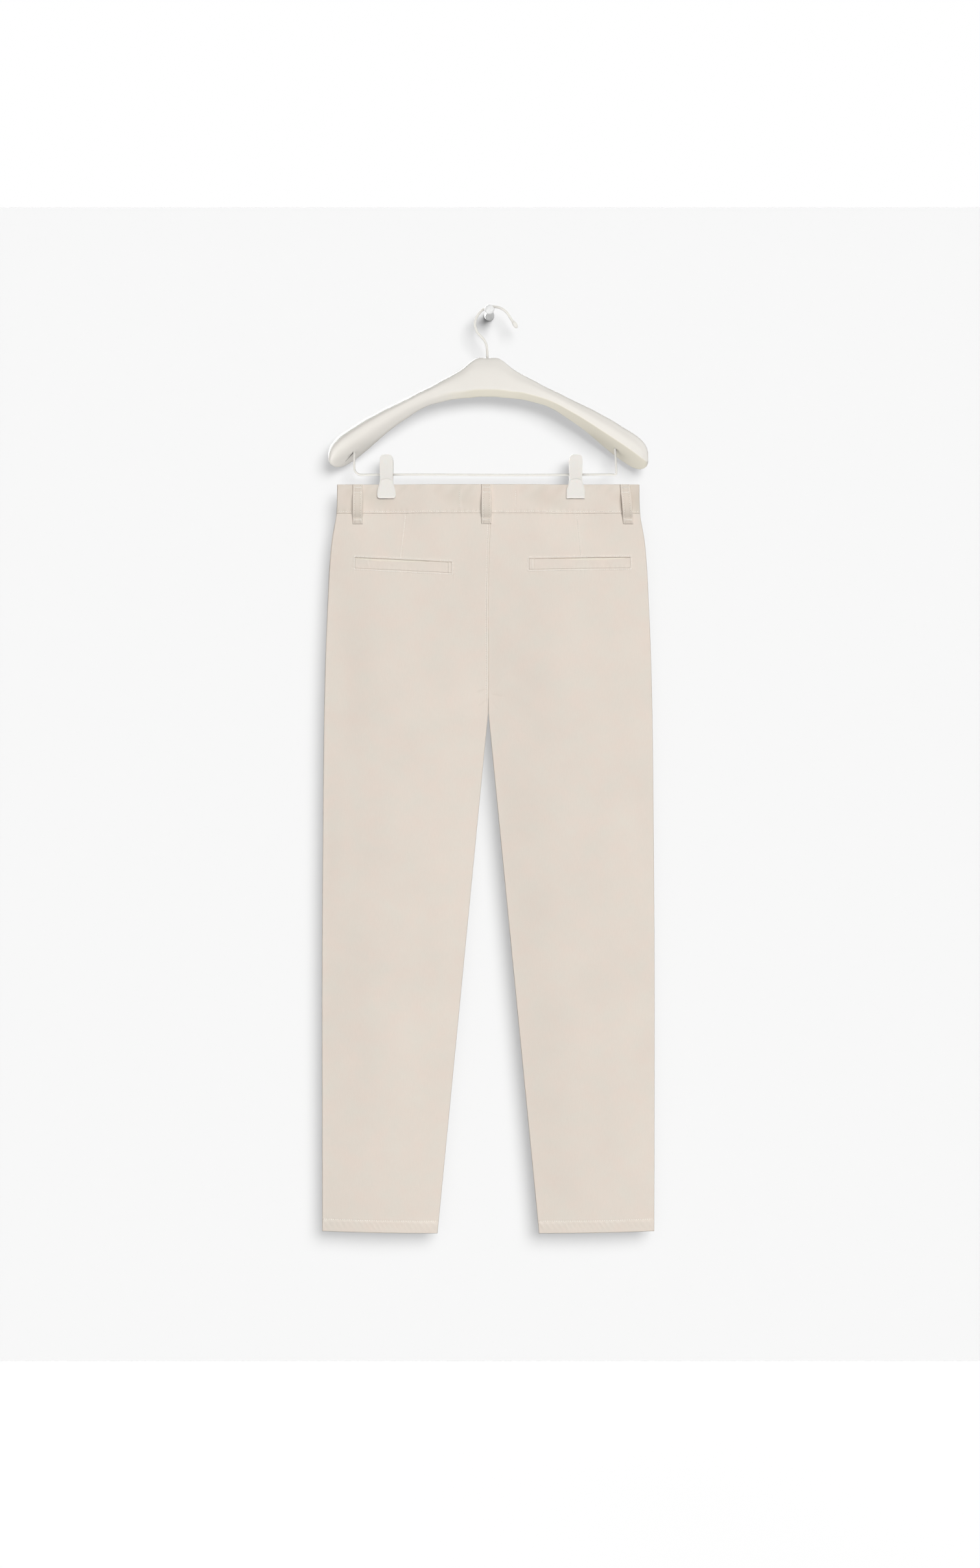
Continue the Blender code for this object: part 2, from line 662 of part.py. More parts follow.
def wire(name, route, radius, material, widths=None):
    """A wire along a route of (x, z) points, its ends closed."""
    data = bpy.data.curves.new(name, "CURVE")
    data.dimensions = "3D"
    data.bevel_depth = radius
    data.bevel_resolution = 2
    data.use_fill_caps = True
    spline = data.splines.new("POLY")
    spline.points.add(len(route) - 1)
    for index, (x, z) in enumerate(route):
        spline.points[index].co = (x, 0.0, z, 1.0)
        if widths is not None:
            spline.points[index].radius = widths[index]
    obj = bpy.data.objects.new(name, data)
    return place(obj, PARTS, HANGER, material)


def hanger_hook(material):
    """The hook: a stem, an S-bend, a long arc over the peg and a rounded tip."""
    bend_x = HOOK_BEND_X - STEM_X
    top = STATIONS[0].top * MM
    corners = [(0.0, top - SOCKET_DEPTH + GAP), (0.0, -54.0 * MM), (-2.4 * MM, -43.0 * MM),
               (-11.0 * MM, -33.5 * MM), (bend_x - HOOK_BEND_RADIUS, -27.0 * MM)]
    route = rounded_route(corners, 0.45, 4)[:-1]
    first = math.radians(184)
    last = math.radians(24)
    for step in range(17):
        angle = first + (last - first) * step / 16
        route.append(Vector((bend_x + HOOK_BEND_RADIUS * math.cos(angle),
                             HOOK_BEND_Z + HOOK_BEND_RADIUS * math.sin(angle))))
    widths = [1.0] * len(route)
    along = Vector((0.57, -0.82))
    start = route[-1] + along * 6.0 * MM
    for share in (-0.97, -0.8, -0.5, 0.0, 0.5, 0.8, 0.97):
        route.append(start + along * HOOK_TIP_LENGTH * 0.5 * (share + 1.0))
        swell = HOOK_TIP_RADIUS / HOOK_RADIUS * math.sqrt(1.0 - share * share)
        widths.append(max(swell, 1.0 if share < 0 else 0.0))
    return wire("hanger_hook", route, HOOK_RADIUS, material, widths)


def trouser_bar(material):
    """The bar that the clips ride on, its bent ends in the hanger's sockets."""
    left = BAR_LEFT_X - STEM_X
    right = BAR_RIGHT_X - STEM_X
    entry = BAR_END_Z - 14.0 * MM
    corners = [(left, BAR_END_Z), (left, entry), (left + 4.8 * MM, BAR_Z + 7.0 * MM),
               (left + 13.0 * MM, BAR_Z), (right - 6.0 * MM, BAR_Z),
               (right, BAR_Z + 7.0 * MM), (right, entry), (right, BAR_END_Z)]
    route = rounded_route(corners[:4], 0.45, 3)[:-1]
    route += rounded_route([corners[3], corners[4], corners[5], corners[6]], 0.04, 3)[:1]
    route += rounded_route(corners[4:], 0.45, 3)
    return wire("trouser_bar", route, BAR_RADIUS, material)


def wall_peg(material):
    """The peg: a collar flat on the wall, a neck, and a head that keeps the hook on."""
    profile = ((0.0, PEG_LENGTH), (PEG_HEAD * 0.45, PEG_LENGTH - 0.5 * MM),
               (PEG_HEAD * 0.85, PEG_LENGTH - 2.2 * MM), (PEG_HEAD, PEG_LENGTH - 4.8 * MM),
               (PEG_HEAD * 0.85, PEG_LENGTH - 7.4 * MM), (PEG_NECK, PEG_LENGTH - 9.6 * MM),
               (PEG_NECK, 8.0 * MM), (PEG_COLLAR * 0.72, 5.6 * MM),
               (PEG_COLLAR * 0.95, 4.4 * MM), (PEG_COLLAR, 3.0 * MM), (PEG_COLLAR, 0.0),
               (0.0, 0.0))
    obj = turned("wall_peg", profile, 24, None, material)
    obj.rotation_euler = (math.pi / 2, 0.0, 0.0)
    return obj


def new_collection(name):
    collection = bpy.data.collections.new(name)
    bpy.context.scene.collection.children.link(collection)
    return collection


def new_empty(name, location):
    empty = bpy.data.objects.new(name, None)
    empty.location = location
    PARTS.objects.link(empty)
    return empty


for old in list(bpy.data.objects):
    bpy.data.objects.remove(old, do_unlink=True)

PARTS = new_collection("chino_trousers")
CUTTERS = new_collection("cutters")
TROUSERS = new_empty("trousers", (CLOTH_X, HANG_Y, WAIST_Z))
HANGER = new_empty("hanger", (STEM_X, HANG_Y, 0.0))


def build():
    twill = make_material("cotton_twill", (0.74, 0.68, 0.60), 0.9)
    pocketing = make_material("pocket_facing", (0.70, 0.64, 0.56), 0.9)
    tape = make_material("zip_tape", (0.62, 0.56, 0.48), 0.8)
    horn = make_material("button_resin", (0.55, 0.47, 0.38), 0.35)
    paint = make_material("hanger_paint", (0.80, 0.78, 0.74), 0.45)
    coated = make_material("coated_wire", (0.84, 0.82, 0.78), 0.4)
    plastic = make_material("clip_plastic", (0.84, 0.82, 0.77), 0.4)
    enamel = make_material("peg_enamel", (0.88, 0.88, 0.87), 0.45)

    backs = {LEFT: panel("back_left", LEFT, BACK, twill),
             RIGHT: panel("back_right", RIGHT, BACK, twill)}
    fronts = {LEFT: panel("front_left", LEFT, FRONT, twill),
              RIGHT: panel("front_right", RIGHT, FRONT, twill)}
    waistband("waistband_back", BACK, 0, twill)
    waistband("waistband_front_left", FRONT, LEFT, twill)
    waistband("waistband_front_right", FRONT, RIGHT, twill)
    for loop in LOOPS:
        belt_loop(loop, twill)
    for welt in WELTS:
        cut_pocket_mouth(backs[welt.hand], welt)
        back_pocket(welt, pocketing)
    for hand, front_panel in fronts.items():
        cut_slant(front_panel, hand)
    front_pocket_facing("front_pocket_facing_left", LEFT, pocketing)
    front_pocket_facing("front_pocket_facing_right", RIGHT, pocketing)
    fly_zip(tape)
    waist_button(horn)
    hanger_body(paint)
    hanger_hook(coated)
    trouser_bar(coated)
    for hand_name in CLIP_X:
        clip_plate("clip_" + hand_name + "_outer", hand_name, BACK, plastic)
        clip_plate("clip_" + hand_name + "_inner", hand_name, FRONT, plastic)
    wall_peg(enamel)


build()
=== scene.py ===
"""Looks of a pair of chino trousers, hung by two clips from a broad hanger on a wall peg.

Metres, +Z up. The wall is the plane y = 0 and the back of the trousers faces -Y, so the
wearer's left is at -X. Lengths with _MM in their name are millimetres.
"""
import math

import bpy
import numpy as np
from bpy.props import FloatProperty, FloatVectorProperty, PointerProperty
from bpy.types import Operator, Panel, PropertyGroup
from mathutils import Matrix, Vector


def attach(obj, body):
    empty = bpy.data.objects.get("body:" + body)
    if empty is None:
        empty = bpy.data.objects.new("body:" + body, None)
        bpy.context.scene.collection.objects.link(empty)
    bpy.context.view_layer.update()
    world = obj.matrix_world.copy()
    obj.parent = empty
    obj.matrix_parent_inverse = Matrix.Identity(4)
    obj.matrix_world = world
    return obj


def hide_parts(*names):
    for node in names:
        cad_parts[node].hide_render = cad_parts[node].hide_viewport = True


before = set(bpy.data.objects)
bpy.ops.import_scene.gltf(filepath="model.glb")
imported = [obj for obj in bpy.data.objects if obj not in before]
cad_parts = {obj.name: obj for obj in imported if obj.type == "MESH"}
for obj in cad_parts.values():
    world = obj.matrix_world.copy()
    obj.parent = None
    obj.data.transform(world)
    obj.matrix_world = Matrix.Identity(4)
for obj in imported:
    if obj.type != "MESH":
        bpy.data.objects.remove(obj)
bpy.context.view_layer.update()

bl_info = {
    "name": "Chino trousers on a hanger",
    "version": (1, 0, 0),
    "blender": (4, 5, 0),
    "location": "3D View > Sidebar > Chinos",
    "description": "Builds the trousers, their hanger and the studio round them",
    "category": "Add Mesh",
}

MM = 0.001
LEFT, RIGHT = -1, 1
BACK, FRONT = -1, 1

# Places, as in the solids
CLOTH_X_MM = -1.6
HANG_Y_MM = -30.0
WAIST_Z_MM = -246.1
STEM_X_MM = -2.9
LENS_AWAY_MM = 3000.0
LENS_Z_MM = -671.2

# Layers of cloth
CLOTH_MM = 1.5
HEM_CLOTH_MM = 2.6
BAND_CLOTH_MM = 2.6
LOOP_CLOTH_MM = 1.6
FACING_CLOTH_MM = 1.0
LAYER_GAP_MM = 0.4
GAP_MM = 0.3
BAND_PROUD_MM = 0.4
LAP_GAP_MM = 0.5

# Drops below the top of the waistband
BAND_DROP_MM = 41.2
SPLIT_DROP_MM = 70.0
CROTCH_DROP_MM = 324.8
HEM_FOLD_DROP_MM = 1047.0
HEM_DROP_MM = 1064.4
HEM_RISE_MM = 4.6
HEM_GAP_HALF_MM = 71.9
FLY_END_MM = 206.0
FLY_CLOSED_MM = 222.0
FLY_LEVEL_MM = 240.0

# The garment's outline and fullness by drop: half width, half depth, edge half depths
SECTION_DROPS = np.array([0, 41, 80, 121, 176, 216, 259, 325, 470, 691, 900, 1047, 1051, 1066.0])
SECTIONS = {
    "half_width": np.array([214.4, 215.5, 221.8, 225.4, 228.2, 230.0, 231.4, 233.0, 234.6,
                            236.0, 235.9, 235.6, 235.6, 235.6]),
    "depth": np.array([5.6, 6.8, 8.2, 9.2, 9.8, 9.9, 9.9, 9.7, 9.3, 8.5, 7.6, 7.0, 7.0, 7.0]),
    "back_edge": np.array([2.5, 2.5, 1.7, 1.7, 1.7, 1.7, 1.7, 1.7, 1.7, 1.7, 1.7, 1.7, 2.8, 2.8]),
    "front_edge": np.array([2.8, 3.1, 3.1, 3.1, 3.1, 3.1, 1.7, 1.7, 1.7, 1.7, 1.7, 1.7, 2.8, 2.8]),
}
CLIP_X_MM = {"left": -144.3, "right": 124.1}

# Soft folds, one by one: side, start and end as x and drop, width, height outwards
FOLDS_MM = (
    (BACK, (-172, 95), (-150, 330), 26, 0.9), (BACK, (-108, 150), (-96, 420), 34, -0.8),
    (BACK, (-60, 210), (-34, 345), 22, 0.7), (BACK, (-28, 290), (-118, 372), 18, 0.9),
    (BACK, (-12, 268), (-74, 318), 13, -0.6), (BACK, (-205, 170), (-196, 420), 17, -0.7),
    (BACK, (30, 276), (104, 352), 17, 0.8), (BACK, (16, 262), (70, 296), 12, -0.6),
    (BACK, (92, 160), (104, 430), 30, 0.9), (BACK, (150, 140), (162, 360), 26, -0.8),
    (BACK, (206, 150), (200, 400), 16, 0.6), (BACK, (50, 190), (38, 320), 20, -0.6),
    (BACK, (-146, 430), (-170, 780), 32, 0.9), (BACK, (-92, 480), (-112, 860), 28, -0.8),
    (BACK, (-188, 620), (-200, 1000), 24, -0.7), (BACK, (-118, 760), (-150, 1030), 30, 0.8),
    (BACK, (-60, 560), (-84, 720), 16, 0.5), (BACK, (-206, 400), (-214, 610), 14, 0.6),
    (BACK, (128, 450), (150, 800), 32, -0.9), (BACK, (80, 470), (104, 820), 26, 0.8),
    (BACK, (186, 560), (196, 960), 26, 0.8), (BACK, (140, 800), (164, 1040), 30, -0.7),
    (BACK, (112, 860), (122, 1020), 20, 0.5), (BACK, (208, 380), (214, 560), 14, -0.5),
    (BACK, (-140, 60), (-150, 104), 16, -0.5), (BACK, (60, 55), (86, 100), 20, 0.5),
    (BACK, (-84, 52), (-60, 98), 18, 0.5), (BACK, (168, 52), (180, 98), 14, -0.4),
    (FRONT, (-176, 210), (-156, 360), 24, 0.9), (FRONT, (-120, 110), (-104, 400), 32, -0.8),
    (FRONT, (-46, 236), (-96, 330), 17, 0.9), (FRONT, (-26, 262), (-70, 320), 12, -0.6),
    (FRONT, (34, 240), (92, 340), 18, 0.9), (FRONT, (24, 272), (84, 306), 12, -0.7),
    (FRONT, (110, 120), (118, 420), 30, 0.8), (FRONT, (168, 230), (176, 420), 24, -0.8),
    (FRONT, (-150, 430), (-164, 760), 30, -0.9), (FRONT, (-98, 470), (-120, 860), 28, 0.9),
    (FRONT, (-190, 600), (-198, 990), 24, 0.8), (FRONT, (-128, 800), (-150, 1030), 30, -0.7),
    (FRONT, (132, 440), (150, 790), 32, 0.9), (FRONT, (86, 480), (108, 800), 26, -0.8),
    (FRONT, (188, 540), (200, 940), 26, -0.8), (FRONT, (146, 820), (168, 1040), 28, 0.7),
)

# Back pockets: hand, distances of the mouth's ends, and the drops of its top at each
POCKETS = {
    LEFT: {"name": "left", "inner": 51.8, "outer": 188.8, "inner_drop": 111.0,
           "outer_drop": 104.0, "fold": 57.3, "crease": 167.0},
    RIGHT: {"name": "right", "inner": 57.6, "outer": 201.4, "inner_drop": 106.0,
            "outer_drop": 103.5, "fold": 64.7, "crease": 0.0},
}
WELT_HEIGHT_MM = 15.2
WELT_SAG_MM = 3.2
WELT_SAG_PLACE = 0.72
WELT_PROUD_MM = 0.5
DARTS_MM = {LEFT: ((116.2, 41.0), (123.4, 106.0)), RIGHT: ((124.8, 41.0), (130.4, 103.6))}
SEAT_SEAM_MM = ((41.0, 3.3), (58.0, 3.0), (80.0, 1.8), (122.0, 0.7), (153.0, -0.2), (200.0, 0.0),
                (255.0, 0.35), (300.0, 0.2), (325.0, 0.0))
SEAT_CREASES_MM = {
    LEFT: (((4.0, 290.0), (17.0, 295.0), 0.3), ((3.0, 306.0), (15.0, 315.0), 0.24)),
    RIGHT: (((3.0, 297.0), (22.0, 301.0), 0.26), ((6.0, 312.0), (18.0, 321.0), 0.2)),
}
SLANT_TOP_IN_MM = 45.0
LOOPS = (
    ("back_left", BACK, -185.0, 0.0), ("back_centre", BACK, -2.6, 0.0),
    ("back_right", BACK, 196.2, 4.5), ("front_left", FRONT, -64.0, 0.0),
    ("front_right", FRONT, 64.0, 0.0),
)


def linear(colour):
    """An sRGB hex colour as linear red, green, blue and alpha."""
    parts = [int(colour[start:start + 2], 16) / 255.0 for start in (1, 3, 5)]
    parts = [p / 12.92 if p <= 0.04045 else ((p + 0.055) / 1.055) ** 2.4 for p in parts]
    return (*parts, 1.0)


def colour_property(name, description, default):
    return FloatVectorProperty(name=name, description=description, subtype="COLOR", size=4,
                               min=0.0, max=1.0, default=linear(default))


def length_property(name, description, default_mm):
    return FloatProperty(name=name, description=description, unit="LENGTH",
                         default=default_mm * MM, min=0.0, precision=5)


class ChinoCloth(PropertyGroup):
    twill: colour_property("Twill", "Cotton twill of the trousers", "#E3D8CE")
    # crease is painted shade in seams, grooves and gaps; worn is the paler raised edges, partly
    # washing wear and partly painted highlight.
    crease: colour_property("Crease", "Twill in its seams and creases", "#D3C8BC")
    wear_and_painted_light: colour_property("Worn", "Twill where washing has paled a raised edge", "#EEE6DD")
    facing: colour_property("Facing", "Cloth behind the pocket mouths", "#E4DCD0")
    thread: colour_property("Thread", "Sewing thread", "#FDF9F3")
    tape: colour_property("Tape", "Woven tape of the zip", "#D3C8BA")
    rib: length_property("Twill rib", "Distance between two ribs of the twill", 0.9)
    stitch: length_property("Stitch", "Distance from one stitch to the next", 3.2)
    thread_width: length_property("Thread width", "Width of a stitch's thread", 0.8)
    pucker: length_property("Pucker", "Height of the puckers along a seam", 0.3)
    fullness: FloatProperty(name="Fullness", description="Height of the soft folds, as a share",
                            subtype="FACTOR", default=1.0, min=0.0, max=2.0)


class ChinoHanger(PropertyGroup):
    body: colour_property("Hanger", "Satin lacquer of the hanger", "#E2DED7")
    wire: colour_property("Wire", "Coating of the hook and of the bar", "#E6E3DC")
    clip: colour_property("Clip", "Moulded plastic of the clips", "#E4E1DB")
    peg: colour_property("Peg", "Enamel of the wall peg", "#F4F4F3")
    button: colour_property("Button", "Resin of the waist button", "#CDBFAC")
    teeth: colour_property("Zip coil", "Nylon coil of the zip", "#C9BDAE")


class ChinoStudio(PropertyGroup):
    wall: colour_property("Wall", "Wall behind the hanger", "#C6C6C6")
    floor: colour_property("Floor", "Floor under the wall", "#FFFFFF")
    distance: FloatProperty(name="Camera distance", description="From the cloth's plane",
                            unit="LENGTH", default=3.0, min=0.5)
    lens: FloatProperty(name="Lens", description="Focal length", unit="CAMERA", default=48.5)
    key: FloatProperty(name="Key light", description="Strength of the soft light at upper right",
                       default=2.95, min=0.0)
    ambient: FloatProperty(name="Ambient", description="Strength of the light from all round",
                           subtype="FACTOR", default=0.08, min=0.0, max=2.0)


def ease(value):
    """Ease from 0 to 1."""
    value = np.clip(value, 0.0, 1.0)
    return value * value * (3.0 - 2.0 * value)


def spaced(start, *stretches):
    """Places from start on: each stretch is its end and the widest step in it."""
    places = [start]
    for end, step in stretches:
        count = max(1, math.ceil((end - places[-1]) / step - 1e-6))
        begin = places[-1]
        places += [begin + (end - begin) * (index + 1) / count for index in range(count)]
    return np.array(places)


def section(drop, column):
    """A column of the sections at each drop, on the solids' smooth curve."""
    drops = SECTION_DROPS
    values = SECTIONS[column]
    last = len(drops) - 1
    indices = np.arange(len(drops))
    after = np.minimum(indices + 1, last)
    before = np.maximum(indices - 1, 0)
    slopes = (values[after] - values[before]) / (drops[after] - drops[before])
    low = np.clip(np.searchsorted(drops, drop, side="right") - 1, 0, last - 1)
    span = drops[low + 1] - drops[low]
    t = np.clip((drop - drops[low]) / span, 0.0, 1.0)
    rise = values[low + 1] - values[low]
    if column.endswith("edge"):
        return values[low] + rise * t
    curve = values[low] + rise * ease(t)
    curve = curve + span * slopes[low] * t * (1.0 - t) ** 2
    return curve - span * slopes[low + 1] * t * t * (1.0 - t)


def inner_line(drop):
    """Distance of a centre or inside-leg edge from the middle."""
    below = np.maximum(drop - CROTCH_DROP_MM, 0.0)
    return GAP_MM / 2 + below * HEM_GAP_HALF_MM / (HEM_DROP_MM - CROTCH_DROP_MM)


def pinch(x, drop):
    """How far the clips press the cloth flat, from 0 to 1."""
    near = np.minimum(abs(x - CLIP_X_MM["left"]), abs(x - CLIP_X_MM["right"]))
    return ease(1.0 - (drop - 24.0) / 72.0) * ease(1.0 - (near - 15.0) / 45.0)


def folds(x, drop, side):
    """Soft folds that the hanging cloth has, outwards."""
    height = np.zeros(np.broadcast(x, drop).shape)
    for fold_side, start, end, width, rise in FOLDS_MM:
        if fold_side != side:
            continue
        along = np.array(end, float) - np.array(start, float)
        reach = np.hypot(*along)
        run = ((x - start[0]) * along[0] + (drop - start[1]) * along[1]) / reach ** 2
        off = ((x - start[0]) * along[1] - (drop - start[1]) * along[0]) / reach
        bend = 0.16 * width * np.sin(run * 5.0 + start[0])
        ends = ease((run + 0.15) / 0.4) * ease((1.15 - run) / 0.4)
        height = height + rise * ends * np.exp(-((off + bend) / width) ** 2)
    width = section(drop, "half_width")
    inner = inner_line(drop)
    calm = ease((width - abs(x)) / 16.0) * ease((abs(x) - inner + 6.0) / 14.0)
    calm = calm * ease((drop - 43.0) / 16.0) * (1.0 - pinch(x, drop))
    return height * calm * bpy.context.scene.chino_cloth.fullness


def surface(x, drop, side):
    """Distance of the cloth's outer face from the plane it hangs in."""
    x = np.asarray(x, float)
    drop = np.asarray(drop, float)
    width = section(drop, "half_width")
    depth = section(drop, "depth")
    edge = section(drop, "front_edge" if side == FRONT else "back_edge")
    inner = inner_line(drop)
    body = (1.0 - np.minimum(abs(x) / width, 1.0) ** 4) ** 1.3
    off = np.minimum(abs(abs(x) - (width + inner) / 2) / ((width - inner) / 2), 1.0)
    leg = (1.0 - off ** 2) ** 1.3
    share = ease((drop - SPLIT_DROP_MM) / (CROTCH_DROP_MM - SPLIT_DROP_MM))
    full = edge + (depth - edge) * ((1.0 - share) * body + share * leg)
    pressed = pinch(x, drop)
    return full + (2.4 - full) * pressed + folds(x, drop, side)


def to_room(x, drop, out, side):
    """Points in the room, in metres, from places on the garment in millimetres."""
    x, drop, out = np.broadcast_arrays(x, drop, out)
    return np.stack(((x + CLOTH_X_MM) * MM, (HANG_Y_MM + side * out) * MM,
                     (WAIST_Z_MM - drop) * MM), axis=-1)


def rolled(distance, radius):
    """How far a folded edge turns in, by distance from the edge."""
    t = np.clip(1.0 - distance / radius, 0.0, 1.0)
    return radius * (1.0 - np.sqrt(1.0 - t * t))


def groove(distance, width):
    """A smooth line, 1 on it and 0 beside it."""
    return np.exp(-(distance / width) ** 2)


def line_distance(x, drop, start, end):
    """Signed distance from a straight line and the run along it, 0 to 1."""
    along = np.array(end, float) - np.array(start, float)
    reach = np.hypot(*along)
    run = ((x - start[0]) * along[0] + (drop - start[1]) * along[1]) / reach ** 2
    off = ((x - start[0]) * along[1] - (drop - start[1]) * along[0]) / reach
    return off, run


def ripple(place, wave):
    """An uneven ripple along a seam, from -1 to 1."""
    slow = np.sin(place / (wave * 1.7) + 1.3) * 0.35
    return 0.65 * np.sin(place * 2 * math.pi / wave + 2.1 * np.sin(place / 23.0)) + slow


def cloth_shell(name, x, drop, out, wall, side, relief, keep=None, rise=0.0, wear_and_painted_light=0.0):
    """A closed thin shell of cloth on a grid of places.

    out is the outer face's distance from the hanging plane before its relief, which is the fine form
    of seams and edges. The relief also tints the cloth: darker in its hollows as painted shade, and
    paler on its ridges, partly as washing wear and partly as painted highlight. worn adds a tint of
    its own where it isn't 0, for wear and for painted light and shade. The UV map is the cut.
    """
    rows, columns = x.shape
    count = rows * columns
    outer = to_room(x, drop - rise, out + relief, side).reshape(-1, 3)
    inner = to_room(x, drop - rise, out - wall + np.minimum(relief, 0.0) * 0.3, side)
    points = np.concatenate((outer, inner.reshape(-1, 3)))
    corner = (np.arange(rows - 1)[:, None] * columns + np.arange(columns - 1)[None, :])
    if keep is not None:
        corner = corner[keep]
    corner = corner.reshape(-1)
    quads = np.stack((corner, corner + 1, corner + columns + 1, corner + columns), axis=1)
    if (x[0, -1] > x[0, 0]) != (side == FRONT):
        quads = quads[:, ::-1]
    starts = quads.reshape(-1)
    ends = np.roll(quads, -1, axis=1).reshape(-1)
    open_edge = ~np.isin(starts * count + ends, ends * count + starts)
    a, b = starts[open_edge], ends[open_edge]
    rim = np.stack((b, a, a + count, b + count), axis=1)
    faces = np.concatenate((quads, quads[:, ::-1] + count, rim))
    used = np.unique(faces)
    place = np.zeros(2 * count, int)
    place[used] = np.arange(len(used))
    mesh = bpy.data.meshes.new(name)
    mesh.from_pydata(points[used].tolist(), [], place[faces].tolist())
    flat = np.stack((x.reshape(-1), -drop.reshape(-1)), axis=1) * MM
    flat = np.concatenate((flat, flat))[used]
    layer = mesh.uv_layers.new(name="cut")
    corners = np.zeros(len(mesh.loops), int)
    mesh.loops.foreach_get("vertex_index", corners)
    layer.data.foreach_set("uv", flat[corners].astype(np.float32).reshape(-1))
    # The tint follows the relief: painted shade in hollows, painted highlight with washing wear on
    # ridges.
    tint = np.maximum(relief, -0.5) * 0.7 + wear_and_painted_light
    tint = np.clip(0.5 + tint.reshape(-1), 0.0, 1.0)
    tint = np.concatenate((tint, np.full(count, 0.45)))[used]
    attribute = mesh.attributes.new("shading_and_wear_tint", "FLOAT", "POINT")
    attribute.data.foreach_set("value", tint.astype(np.float32))
    mesh.shade_smooth()
    mesh.set_sharp_from_angle(angle=math.radians(62))
    piece = bpy.data.objects.new(name, mesh)
    bpy.context.scene.collection.objects.link(piece)
    return piece


def hand_over(piece, material, slot, node=None):
    """Give a finished piece its material, its body and the node that it stands for."""
    piece.data.materials.clear()
    piece.data.materials.append(material)
    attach(piece, "root")
    hard = slot in ("hanger", "wire", "clip", "peg")
    bpy.data.collections["hard_pieces" if hard else "cloth_pieces"].objects.link(piece)
    piece.visible_diffuse = not hard
    if slot == "peg":
        bpy.data.collections["cloth_and_peg"].objects.link(piece)
    if node is not None:
        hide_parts(node)
    return piece


def seat_seam(drop):
    """Place of the centre back seam, sideways."""
    drops = [row[0] for row in SEAT_SEAM_MM]
    return np.interp(drop, drops, [row[1] for row in SEAT_SEAM_MM])


def pocket_shift(distance, drop, pocket):
    """How far a back's rows drop or rise so that they run along its tilted pocket."""
    share = (distance - pocket["inner"]) / (pocket["outer"] - pocket["inner"])
    share = np.clip(share, -0.08, 1.08)
    line = pocket["inner_drop"] + (pocket["outer_drop"] - pocket["inner_drop"]) * share
    mean = (pocket["inner_drop"] + pocket["outer_drop"]) / 2
    return (line - mean) * ease((drop - 46.0) / 50.0) * ease((186.0 - drop) / 52.0)


def pocket_middle(pocket):
    """Level of the middle of a pocket's window."""
    return (pocket["inner_drop"] + pocket["outer_drop"] + WELT_HEIGHT_MM) / 2


def window_distance(distance, level, pocket):
    """Distance outside a pocket's window, and where it lies beside it."""
    mean = (pocket["inner_drop"] + pocket["outer_drop"]) / 2
    across = np.maximum(pocket["inner"] - distance, distance - pocket["outer"])
    down = np.maximum(mean - level, level - mean - WELT_HEIGHT_MM)
    return np.hypot(np.maximum(across, 0.0), np.maximum(down, 0.0)), across, down


def back_relief(distance, drop, hand):
    """Fine form of a back: seams, dart, pocket frame, puckers and hem."""
    pucker = bpy.context.scene.chino_cloth.pucker / MM
    pocket = POCKETS[hand]
    x = hand * distance
    level = drop - pocket_shift(distance, drop, pocket)
    under_band = drop - BAND_DROP_MM
    relief = 0.1 * groove(under_band - 1.2, 0.7) - 0.05 * groove(under_band, 0.5)
    relief = relief + pucker * 0.9 * ripple(x, 8.5) * np.exp(-np.maximum(under_band, 0) / 4.5)
    off = distance - hand * seat_seam(drop)
    above = ease((CROTCH_DROP_MM + 4.0 - drop) / 40.0)
    seam = -0.4 * groove(off, 0.42)
    if hand == LEFT:
        lower = ease((drop - 95.0) / 60.0)
        seam = seam + (0.26 + 0.44 * lower) * groove(off - 1.6, 0.55 + 0.4 * lower)
        seam = seam - 0.3 * groove(off - 3.2, 0.45)
    seam = seam + pucker * 0.4 * ripple(drop, 7.0) * groove(off - 2.0, 3.2)
    relief = relief + above * seam
    inside_leg = distance - inner_line(drop)
    relief = relief - (1.0 - above) * rolled(inside_leg, 1.1)
    relief = relief + (1.0 - above) * pucker * 0.5 * ripple(drop, 13.0) * groove(inside_leg, 4.0)
    start, end = DARTS_MM[hand]
    off, run = line_distance(distance, drop, start, end)
    on_dart = ease((run + 0.05) / 0.06) * ease((1.04 - run) / 0.10)
    relief = relief - 0.34 * on_dart * groove(off, 0.6)
    relief = relief + 0.2 * on_dart * groove(off - 1.6, 1.1)
    relief = relief + pucker * 0.35 * on_dart * ripple(drop, 6.0) * groove(off, 3.0)
    outside, across, down = window_distance(distance, level, pocket)
    over = ease((level - pocket_middle(pocket)) / 3.0)
    relief = relief + 0.2 * ease((4.0 - outside) / 2.5)
    flat = np.maximum(0.86 * over, 0.8 * (across > down))
    relief = relief - rolled(outside, 0.6) * (1.0 - flat)
    along = np.where(across > down, drop, x)
    relief = relief + pucker * 0.5 * ripple(along, 6.5) * groove(outside - 3.2, 2.2)
    if hand == LEFT:
        beside = groove(pocket["inner"] - 2.7 - distance, 0.5) * (down < 1.0)
        relief = relief - 0.16 * beside
        off, run = line_distance(distance, drop, (49.6, 124.0), (50.6, 136.0))
        relief = relief - 0.3 * groove(off, 1.0) * ease((run + 0.2) / 0.3) * (
            ease((1.2 - run) / 0.5))
    for start, end, deep in SEAT_CREASES_MM[hand]:
        off, run = line_distance(distance, drop, start, end)
        relief = relief - deep * groove(off, 2.2) * ease((run + 0.3) / 0.6) * (
            ease((1.3 - run) / 0.6))
    width = section(drop, "half_width")
    relief = relief - rolled(width - distance, 1.3)
    relief = relief + pucker * 0.6 * ripple(drop, 17.0) * groove(width - distance - 3.0, 4.0)
    return relief + hem_relief(x, drop)


